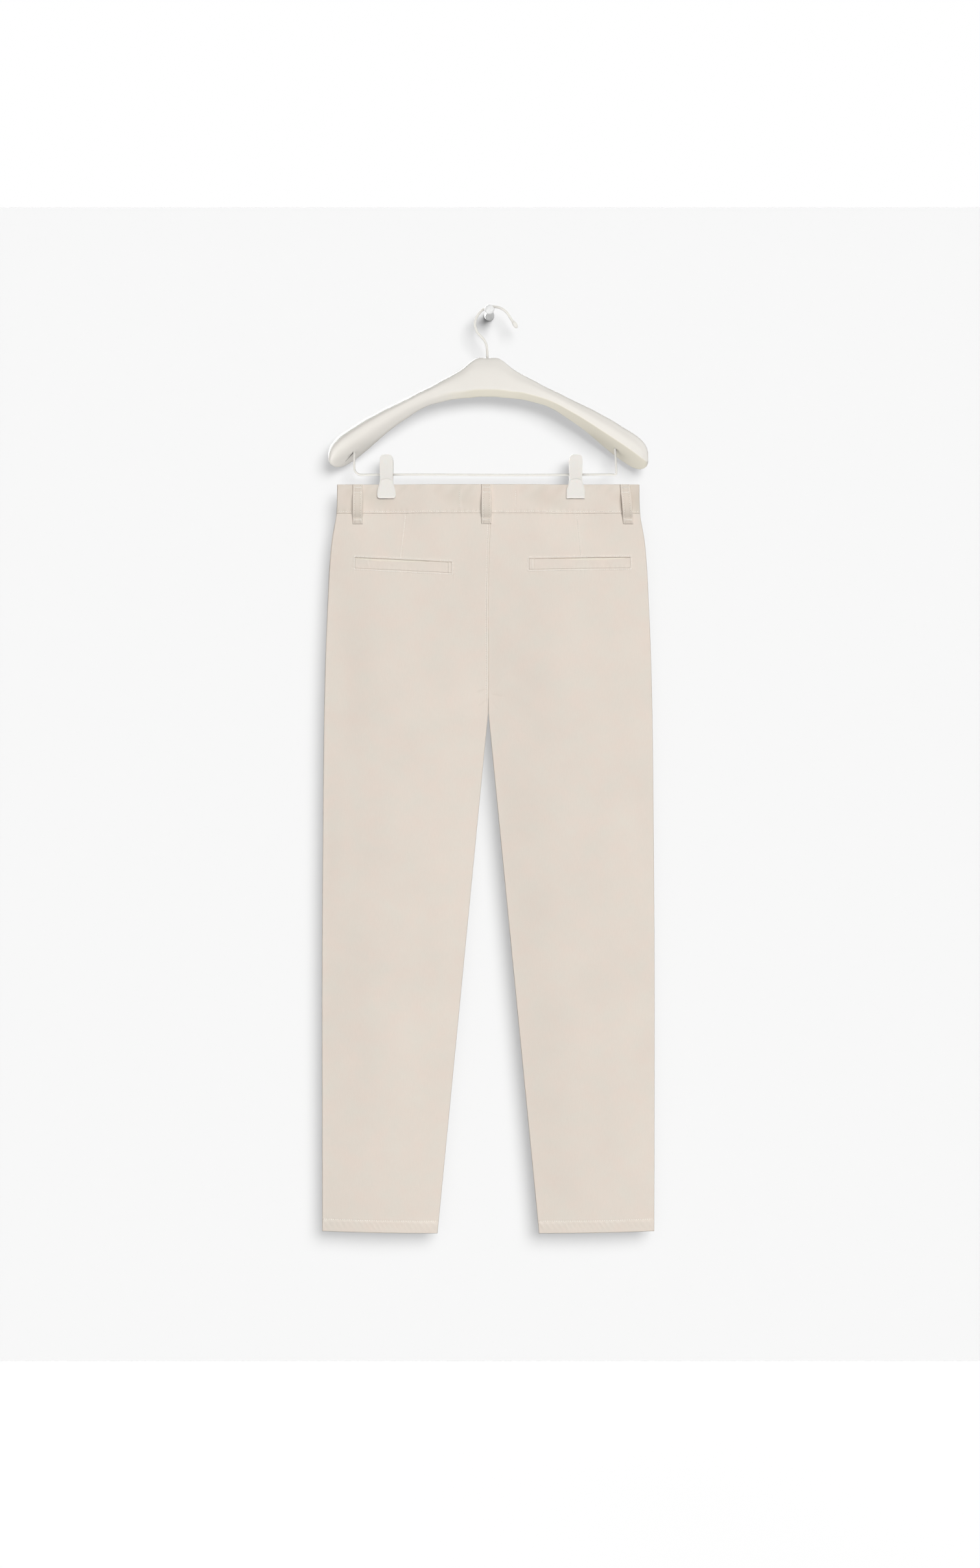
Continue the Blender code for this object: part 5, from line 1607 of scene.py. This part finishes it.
def spun_thread(name, colour):
    """Core-spun polyester thread: a little brighter and smoother than the cloth."""
    material = blank_material(name)
    place = add_node(material, "ShaderNodeTexCoord")
    # Plies twist round the thread every 0.6 mm.
    twist = add_node(material, "ShaderNodeTexWave",
                     {"Vector": place.outputs["Object"], "Scale": 0.31416 / 0.0006,
                      "Distortion": 0.3},
                     wave_type="BANDS", bands_direction="DIAGONAL")
    bump = add_node(material, "ShaderNodeBump", {"Height": twist.outputs["Fac"],
                                                 "Strength": 0.35, "Distance": 0.0001})
    shade = add_node(material, "ShaderNodeMapRange",
                     {"Value": twist.outputs["Fac"], "To Min": 0.95, "To Max": 1.02})
    tinted = add_node(material, "ShaderNodeVectorMath",
                      {0: colour[:3], "Scale": shade.outputs["Result"]}, operation="SCALE")
    return shade_with(material, tinted.outputs["Vector"], bump.outputs["Normal"], 0.72,
                      Specular_IOR_Level=0.3, Sheen_Weight=0.08, Sheen_Roughness=0.4)


def speckled(material, colour, scale, spread, detail=3.0):
    """A colour with a fine unevenness of a real size, and the noise that makes it."""
    place = add_node(material, "ShaderNodeTexCoord")
    grain = add_node(material, "ShaderNodeTexNoise",
                     {"Vector": place.outputs["Object"], "Scale": scale, "Detail": detail,
                      "Roughness": 0.6})
    shade = add_node(material, "ShaderNodeMapRange",
                     {"Value": grain.outputs["Fac"], "From Min": 0.25, "From Max": 0.75,
                      "To Min": 1.0 - spread, "To Max": 1.0 + spread})
    tinted = add_node(material, "ShaderNodeVectorMath",
                      {0: colour[:3], "Scale": shade.outputs["Result"]}, operation="SCALE")
    return tinted, grain, place


def satin_lacquer(name, colour):
    """Beech, sprayed with satin lacquer: an even pale film, faintly wavy over the grain.

    The underside is painted a little darker and yellower, as painted shade with a warm painted
    bounce.
    """
    material = blank_material(name)
    tinted, grain, place = speckled(material, colour, 26.0, 0.012)
    shading_and_wear_tint = add_node(material, "ShaderNodeAttribute", attribute_name="shading_and_wear_tint",
                    attribute_type="GEOMETRY")
    # Painted shade and painted warm bounce on the underside.
    thin = add_node(material, "ShaderNodeValToRGB", {"Fac": shading_and_wear_tint.outputs["Fac"]})
    set_ramp(thin, (0.0, (1.0, 1.0, 1.0, 1.0)), (1.0, (0.94, 0.925, 0.85, 1.0)))
    film_colour = add_node(material, "ShaderNodeVectorMath",
                           {0: tinted.outputs["Vector"], 1: thin.outputs["Color"]},
                           operation="MULTIPLY")
    # The film's orange peel is about 2 mm across.
    peel = add_node(material, "ShaderNodeTexNoise",
                    {"Vector": place.outputs["Object"], "Scale": 480.0, "Detail": 2.0})
    along = add_node(material, "ShaderNodeMapping",
                     {"Vector": place.outputs["Object"], "Scale": (18.0, 160.0, 160.0)})
    fibres = add_node(material, "ShaderNodeTexNoise",
                      {"Vector": along.outputs["Vector"], "Scale": 1.0, "Detail": 3.0})
    film = add_node(material, "ShaderNodeMath",
                    {0: peel.outputs["Fac"], 1: fibres.outputs["Fac"]}, operation="ADD")
    bump = add_node(material, "ShaderNodeBump", {"Height": film.outputs["Value"],
                                                 "Strength": 0.12, "Distance": 0.0003})
    rough = add_node(material, "ShaderNodeMapRange",
                     {"Value": grain.outputs["Fac"], "From Min": 0.3, "From Max": 0.7,
                      "To Min": 0.40, "To Max": 0.48})
    return shade_with(material, film_colour.outputs["Vector"], bump.outputs["Normal"],
                      rough.outputs["Result"], IOR=1.5, Coat_Weight=0.12, Coat_Roughness=0.32)


def moulded_plastic(name, tongue, jaw):
    """ABS, moulded in a fine-spark mould: satin. Its finger tongue is painted darker than its jaw, as
    painted shade.
    """
    material = blank_material(name)
    place = add_node(material, "ShaderNodeTexCoord")
    shading_and_wear_tint = add_node(material, "ShaderNodeAttribute", attribute_name="shading_and_wear_tint",
                    attribute_type="GEOMETRY")
    ramp = add_node(material, "ShaderNodeValToRGB", {"Fac": shading_and_wear_tint.outputs["Fac"]})
    # Painted shade on the tongue; the jaw is in the plastic's own colour.
    set_ramp(ramp, (0.0, tongue), (1.0, jaw))
    # Spark grain is about 0.3 mm; it is drawn at 0.8 mm so that it shows.
    spark = add_node(material, "ShaderNodeTexNoise",
                     {"Vector": place.outputs["Object"], "Scale": 1250.0, "Detail": 2.0})
    shade = add_node(material, "ShaderNodeMapRange",
                     {"Value": spark.outputs["Fac"], "From Min": 0.3, "From Max": 0.7,
                      "To Min": 0.98, "To Max": 1.012})
    tinted = add_node(material, "ShaderNodeVectorMath",
                      {0: ramp.outputs["Color"], "Scale": shade.outputs["Result"]},
                      operation="SCALE")
    bump = add_node(material, "ShaderNodeBump", {"Height": spark.outputs["Fac"],
                                                 "Strength": 0.25, "Distance": 0.00012})
    return shade_with(material, tinted.outputs["Vector"], bump.outputs["Normal"], 0.42, IOR=1.52,
                      Subsurface_Weight=0.08, Subsurface_Scale=0.002)


def powder_coat(name, colour):
    """Steel wire with an epoxy powder coat: thick, pale and slightly dimpled."""
    material = blank_material(name)
    tinted, grain, place = speckled(material, colour, 300.0, 0.015)
    # Powder flows out to dimples about 1 mm across.
    dimples = add_node(material, "ShaderNodeTexVoronoi",
                       {"Vector": place.outputs["Object"], "Scale": 900.0})
    bump = add_node(material, "ShaderNodeBump", {"Height": dimples.outputs["Distance"],
                                                 "Strength": 0.15, "Distance": 0.0001})
    return shade_with(material, tinted.outputs["Vector"], bump.outputs["Normal"], 0.44, IOR=1.5)


def hammered_enamel(name, colour):
    """Cast zinc under white stove enamel: glossy, its skin hammered and slightly grey."""
    material = blank_material(name)
    place = add_node(material, "ShaderNodeTexCoord")
    # Hammer marks are about 1.6 mm across.
    marks = add_node(material, "ShaderNodeTexVoronoi",
                     {"Vector": place.outputs["Object"], "Scale": 620.0, "Randomness": 0.9})
    shade = add_node(material, "ShaderNodeMapRange",
                     {"Value": marks.outputs["Distance"], "From Min": 0.0, "From Max": 0.6,
                      "To Min": 1.0, "To Max": 0.88})
    tinted = add_node(material, "ShaderNodeVectorMath",
                      {0: colour[:3], "Scale": shade.outputs["Result"]}, operation="SCALE")
    bump = add_node(material, "ShaderNodeBump", {"Height": marks.outputs["Distance"],
                                                 "Strength": 0.8, "Distance": 0.0005},
                    invert=True)
    return shade_with(material, tinted.outputs["Vector"], bump.outputs["Normal"], 0.36, IOR=1.5,
                      Coat_Weight=0.3, Coat_Roughness=0.2)


def mottled_resin(name, colour):
    """Cast polyester button resin: horn-like clouds, polished."""
    material = blank_material(name)
    place = add_node(material, "ShaderNodeTexCoord")
    clouds = add_node(material, "ShaderNodeTexNoise",
                      {"Vector": place.outputs["Object"], "Scale": 170.0, "Detail": 4.0,
                       "Distortion": 1.6})
    dark = tuple(channel * 0.62 for channel in colour[:3]) + (1.0,)
    ramp = add_node(material, "ShaderNodeValToRGB", {"Fac": clouds.outputs["Fac"]})
    set_ramp(ramp, (0.36, dark), (0.52, colour), (0.72, colour))
    bump = add_node(material, "ShaderNodeBump", {"Height": clouds.outputs["Fac"],
                                                 "Strength": 0.1, "Distance": 0.0001})
    return shade_with(material, ramp.outputs["Color"], bump.outputs["Normal"], 0.28, IOR=1.55,
                      Coat_Weight=0.35, Coat_Roughness=0.15)


def nylon_coil(name, colour):
    """Nylon monofilament, coiled and heat set: waxy and slightly see-through."""
    material = blank_material(name)
    tinted, grain, place = speckled(material, colour, 700.0, 0.04)
    return shade_with(material, tinted.outputs["Vector"], None, 0.38, IOR=1.53,
                      Subsurface_Weight=0.15, Subsurface_Scale=0.001)


def die_cast_zinc(name):
    """Zinc alloy, die cast and tumbled, with a clear lacquer: soft grey metal."""
    material = blank_material(name)
    tinted, grain, place = speckled(material, linear("#B9B6B0"), 900.0, 0.05)
    bump = add_node(material, "ShaderNodeBump", {"Height": grain.outputs["Fac"],
                                                 "Strength": 0.2, "Distance": 0.0001})
    return shade_with(material, tinted.outputs["Vector"], bump.outputs["Normal"], 0.34,
                      Metallic=1.0)


def backdrop(name, colour, glow):
    """Matt paint seen from its front only, so that views from behind look through it.

    Part of its light is its own, which keeps the studio's shadows soft and pale.
    """
    material = blank_material(name)
    lit = tuple(channel * (1.0 - glow) for channel in colour[:3]) + (1.0,)
    paint = add_node(material, "ShaderNodeBsdfDiffuse", {"Color": lit})
    light = add_node(material, "ShaderNodeEmission", {"Color": colour, "Strength": glow})
    front = add_node(material, "ShaderNodeAddShader", {0: paint.outputs["BSDF"],
                                                       1: light.outputs["Emission"]})
    clear = add_node(material, "ShaderNodeBsdfTransparent")
    facing = add_node(material, "ShaderNodeNewGeometry")
    mixed = add_node(material, "ShaderNodeMixShader",
                     {0: facing.outputs["Backfacing"], 1: front.outputs["Shader"],
                      2: clear.outputs["BSDF"]})
    add_node(material, "ShaderNodeOutputMaterial", {"Surface": mixed.outputs["Shader"]})
    return material


def twill():
    cloth = bpy.context.scene.chino_cloth
    return garment_twill("cotton_twill_washed", tuple(cloth.twill), tuple(cloth.crease),
                         tuple(cloth.wear_and_painted_light))


def facing_twill():
    cloth = bpy.context.scene.chino_cloth
    return garment_twill("cotton_twill_facing", tuple(cloth.facing), tuple(cloth.crease),
                         tuple(cloth.wear_and_painted_light), 0.8)


def finish(name, make, *colours):
    """A material made once and then shared."""
    material = bpy.data.materials.get(name)
    return material if material is not None else make(name, *colours)


class CHINO_OT_studio(Operator):
    """Set up the wall, the floor, the lights and the camera"""
    bl_idname = "chino.studio"
    bl_label = "Studio"

    def execute(self, context):
        scene = context.scene
        studio = scene.chino_studio
        scene.view_settings.view_transform = "Standard"
        scene.view_settings.look = "None"
        wall_top, wall_foot = 0.156, -1.499
        bpy.ops.object.select_all(action="DESELECT")
        bpy.ops.mesh.primitive_plane_add(size=1.0, location=(0.0, 0.0004, (wall_top + wall_foot) / 2),
                                         rotation=(math.pi / 2, 0.0, 0.0),
                                         scale=(6.0, wall_top - wall_foot, 1.0))
        wall = context.active_object
        wall.name = "studio_wall"
        wall.scale = (6.0, wall_top - wall_foot, 1.0)
        bpy.ops.object.transform_apply(location=True, rotation=True, scale=True)
        bpy.ops.object.select_all(action="DESELECT")
        bpy.ops.mesh.primitive_plane_add(size=1.0, location=(0.0, -2.5, wall_foot))
        floor = context.active_object
        floor.name = "studio_floor"
        floor.scale = (8.0, 5.0, 1.0)
        bpy.ops.object.transform_apply(location=True, rotation=True, scale=True)
        wall.data.materials.append(backdrop("wall_paint", tuple(studio.wall), 0.0))
        floor.data.materials.append(backdrop("floor_paint", tuple(studio.floor), 0.95))
        groups = {name: bpy.data.collections.new(name)
                  for name in ("cloth_pieces", "hard_pieces", "backdrops", "cloth_and_peg")}
        groups["cloth_and_peg"].children.link(groups["cloth_pieces"])
        for surface_piece in (wall, floor):
            surface_piece.visible_shadow = False
            surface_piece.visible_diffuse = False
            surface_piece.visible_glossy = False
            groups["backdrops"].objects.link(surface_piece)
        # Each lamp is as wide in the sky as a large softbox; the hanger hangs in a light
        # tent. The wall's two lamps throw one shadow each, as deep as those in the photo.
        lamps = (("key", (0.22, -1.0, 0.40), 46.0, 0.97, "cloth_pieces", None),
                 ("fill", (0.0, -1.0, -0.7), 50.0, 0.14, "cloth_pieces", None),
                 ("tent", (0.85, -0.85, 0.3), 180.0, 1.03, "hard_pieces", "hard_pieces"),
                 ("reflector", (-0.95, -0.4, -0.9), 60.0, 0.62, "hard_pieces", "hard_pieces"),
                 ("cloth_shade", (0.38, -1.0, 0.56), 38.0, 0.86, "backdrops", "cloth_and_peg"),
                 ("hanger_shade", (0.36, -1.0, 0.33), 34.0, 0.86, "backdrops", "hard_pieces"),
                 ("halo", (0.12, -1.0, 0.04), 76.0, 0.2, "backdrops", None),
                 ("rear", (-0.35, 1.0, 0.45), 40.0, 1.15, None, None))
        for name, direction, spread, share, lit, throws in lamps:
            direction = Vector(direction)
            bpy.ops.object.light_add(type="SUN", location=direction * 2.0)
            lamp = context.active_object
            lamp.name = "studio_" + name
            lamp.data.angle = math.radians(spread)
            lamp.data.energy = studio.key * share
            lamp.rotation_euler = (-direction).to_track_quat("-Z", "Y").to_euler()
            if lit:
                lamp.light_linking.receiver_collection = groups[lit]
            if throws:
                lamp.light_linking.blocker_collection = groups[throws]
            if name in ("tent", "reflector", "rear"):
                # Their light isn't passed on, so that it leaves the wall's shadows alone.
                lamp.data.use_nodes = True
                nodes = lamp.data.node_tree.nodes
                light = next(node for node in nodes if node.type == "EMISSION")
                path = nodes.new("ShaderNodeLightPath")
                first = nodes.new("ShaderNodeMath")
                first.operation = "LESS_THAN"
                first.inputs[1].default_value = 2.5
                lamp.data.node_tree.links.new(path.outputs["Ray Depth"], first.inputs[0])
                lamp.data.node_tree.links.new(first.outputs["Value"], light.inputs["Strength"])
        world = bpy.data.worlds.new("studio_air")
        scene.world = world
        world.use_nodes = True
        tree = world.node_tree
        tree.nodes.clear()
        seen = tree.nodes.new("ShaderNodeBackground")
        seen.inputs["Color"].default_value = (1.0, 1.0, 1.0, 1.0)
        felt = tree.nodes.new("ShaderNodeBackground")
        felt.inputs["Color"].default_value = (1.0, 1.0, 1.0, 1.0)
        felt.inputs["Strength"].default_value = studio.ambient
        path = tree.nodes.new("ShaderNodeLightPath")
        mixed = tree.nodes.new("ShaderNodeMixShader")
        output = tree.nodes.new("ShaderNodeOutputWorld")
        tree.links.new(path.outputs["Is Camera Ray"], mixed.inputs[0])
        tree.links.new(felt.outputs["Background"], mixed.inputs[1])
        tree.links.new(seen.outputs["Background"], mixed.inputs[2])
        tree.links.new(mixed.outputs["Shader"], output.inputs["Surface"])
        bpy.ops.object.camera_add(location=(0.0009, HANG_Y_MM * MM - studio.distance, -0.6712),
                                  rotation=(math.pi / 2, 0.0, 0.0))
        camera = context.active_object
        camera.name = "studio_camera"
        camera.data.sensor_fit = "VERTICAL"
        camera.data.sensor_height = 36.0
        camera.data.lens = studio.lens
        camera.data.clip_end = 50.0
        scene.camera = camera
        return {"FINISHED"}


class CHINO_OT_backs(Operator):
    """Build the two backs with their windows, and their stitches"""
    bl_idname = "chino.backs"
    bl_label = "Backs"

    def execute(self, context):
        thread = finish("spun_thread", spun_thread, tuple(context.scene.chino_cloth.thread))
        stitches = hand_over(sew_back(), thread, "twill")
        hems = hand_over(sew_hems(), thread, "twill")
        for hand, node in ((LEFT, "back_left"), (RIGHT, "back_right")):
            piece = hand_over(build_back(hand), twill(), "twill", node)
        return {"FINISHED"}


class CHINO_OT_fronts(Operator):
    """Build the two fronts, cut off along their pockets' mouths, and their stitches"""
    bl_idname = "chino.fronts"
    bl_label = "Fronts"

    def execute(self, context):
        thread = finish("spun_thread", spun_thread, tuple(context.scene.chino_cloth.thread))
        stitches = hand_over(sew_fronts(), thread, "twill")
        for hand, node in ((LEFT, "front_left"), (RIGHT, "front_right")):
            piece = hand_over(build_front(hand), twill(), "twill", node)
        return {"FINISHED"}


class CHINO_OT_waistband(Operator):
    """Build the waistband's three pieces and their stitches"""
    bl_idname = "chino.waistband"
    bl_label = "Waistband"

    def execute(self, context):
        thread = finish("spun_thread", spun_thread, tuple(context.scene.chino_cloth.thread))
        stitches = hand_over(sew_band(), thread, "twill")
        piece = hand_over(build_band_back(), twill(), "twill", "waistband_back")
        for hand, node in ((LEFT, "waistband_front_left"), (RIGHT, "waistband_front_right")):
            piece = hand_over(build_band_front(hand), twill(), "twill", node)
        return {"FINISHED"}


class CHINO_OT_belt_loops(Operator):
    """Build the five belt loops and their tacks"""
    bl_idname = "chino.belt_loops"
    bl_label = "Belt loops"

    def execute(self, context):
        thread = finish("spun_thread", spun_thread, tuple(context.scene.chino_cloth.thread))
        stitches = hand_over(sew_loops(), thread, "twill")
        for index, loop in enumerate(LOOPS):
            node = "belt_loop_" + loop[0]
            piece = hand_over(build_loop(loop), twill(), "twill", node)
        return {"FINISHED"}


class CHINO_OT_pockets(Operator):
    """Build the back welts and the facings of all four pockets"""
    bl_idname = "chino.pockets"
    bl_label = "Pockets"

    def execute(self, context):
        for hand in (LEFT, RIGHT):
            name = "left" if hand == LEFT else "right"
            welt = hand_over(build_welt(hand), twill(), "twill", "back_welt_" + name)
            facing = hand_over(build_back_facing(hand), facing_twill(), "facing",
                               "back_pocket_facing_" + name)
            facing = hand_over(build_front_facing(hand), facing_twill(), "facing",
                               "front_pocket_facing_" + name)
        return {"FINISHED"}


class CHINO_OT_fastening(Operator):
    """Build the zip's tape, coil and slider, and the waist button with its thread"""
    bl_idname = "chino.fastening"
    bl_label = "Zip and button"

    def execute(self, context):
        scene = context.scene
        cloth = scene.chino_cloth
        tape_cloth = garment_twill("woven_tape", tuple(cloth.tape), tuple(cloth.crease),
                                   tuple(cloth.wear_and_painted_light), 1.4)
        tape = hand_over(build_tape(), tape_cloth, "zip_tape", "fly_zip")
        teeth = hand_over(coil(), finish("nylon_coil", nylon_coil, tuple(scene.chino_hanger.teeth)),
                          "zip_tape")
        slider = hand_over(build_slider(), die_cast_zinc("die_cast_zinc"), "button")
        button, centre = build_button()
        hand_over(button, finish("button_resin_clouded", mottled_resin,
                                 tuple(scene.chino_hanger.button)), "button", "waist_button")
        thread = finish("spun_thread", spun_thread, tuple(cloth.thread))
        hand_over(build_button_thread(centre), thread, "button")
        return {"FINISHED"}


class CHINO_OT_hanger(Operator):
    """Build the hanger, its hook and its bar"""
    bl_idname = "chino.hanger"
    bl_label = "Hanger and wires"

    def execute(self, context):
        colours = context.scene.chino_hanger
        hand_over(build_hanger(), finish("satin_lacquer", satin_lacquer, tuple(colours.body)),
                  "hanger", "hanger_body")
        coat = finish("powder_coat", powder_coat, tuple(colours.wire))
        hand_over(build_hook(), coat, "wire", "hanger_hook")
        hand_over(build_bar(), coat, "wire", "trouser_bar")
        return {"FINISHED"}


class CHINO_OT_clips(Operator):
    """Build the four plates of the two clips"""
    bl_idname = "chino.clips"
    bl_label = "Clips"

    def execute(self, context):
        colour = tuple(context.scene.chino_hanger.clip)
        # The tongue is the clip's colour painted darker: painted shade.
        tongue = tuple(channel * 0.95 for channel in colour[:3]) + (1.0,)
        plastic = finish("moulded_abs", moulded_plastic, tongue, colour)
        for hand_name in CLIP_X_MM:
            for side, place in ((BACK, "outer"), (FRONT, "inner")):
                hand_over(build_plate(hand_name, side), plastic, "clip",
                          "clip_" + hand_name + "_" + place)
        return {"FINISHED"}


class CHINO_OT_peg(Operator):
    """Build the wall peg"""
    bl_idname = "chino.peg"
    bl_label = "Wall peg"

    def execute(self, context):
        enamel = finish("hammered_enamel", hammered_enamel, tuple(context.scene.chino_hanger.peg))
        hand_over(build_peg(), enamel, "peg", "wall_peg")
        return {"FINISHED"}


STEPS = (CHINO_OT_studio, CHINO_OT_hanger, CHINO_OT_clips, CHINO_OT_peg, CHINO_OT_backs,
         CHINO_OT_fronts, CHINO_OT_waistband, CHINO_OT_belt_loops, CHINO_OT_pockets,
         CHINO_OT_fastening)


class CHINO_PT_panel(Panel):
    """Sizes, colours and steps of the trousers on their hanger"""
    bl_idname = "CHINO_PT_panel"
    bl_label = "Chino trousers"
    bl_space_type = "VIEW_3D"
    bl_region_type = "UI"
    bl_category = "Chinos"

    def draw(self, context):
        layout = self.layout
        for group in (context.scene.chino_cloth, context.scene.chino_hanger,
                      context.scene.chino_studio):
            box = layout.box()
            for name in type(group).__annotations__:
                box.prop(group, name)
        for step in STEPS:
            layout.operator(step.bl_idname)


CLASSES = (ChinoCloth, ChinoHanger, ChinoStudio) + STEPS + (CHINO_PT_panel,)


def register():
    for item in CLASSES:
        bpy.utils.register_class(item)
    bpy.types.Scene.chino_cloth = PointerProperty(type=ChinoCloth)
    bpy.types.Scene.chino_hanger = PointerProperty(type=ChinoHanger)
    bpy.types.Scene.chino_studio = PointerProperty(type=ChinoStudio)


def unregister():
    del bpy.types.Scene.chino_studio
    del bpy.types.Scene.chino_hanger
    del bpy.types.Scene.chino_cloth
    for item in reversed(CLASSES):
        bpy.utils.unregister_class(item)


def main():
    register()
    bpy.ops.chino.studio()
    bpy.ops.chino.hanger()
    bpy.ops.chino.clips()
    bpy.ops.chino.peg()
    bpy.ops.chino.backs()
    bpy.ops.chino.fronts()
    bpy.ops.chino.waistband()
    bpy.ops.chino.belt_loops()
    bpy.ops.chino.pockets()
    bpy.ops.chino.fastening()


if __name__ == "__main__":
    main()
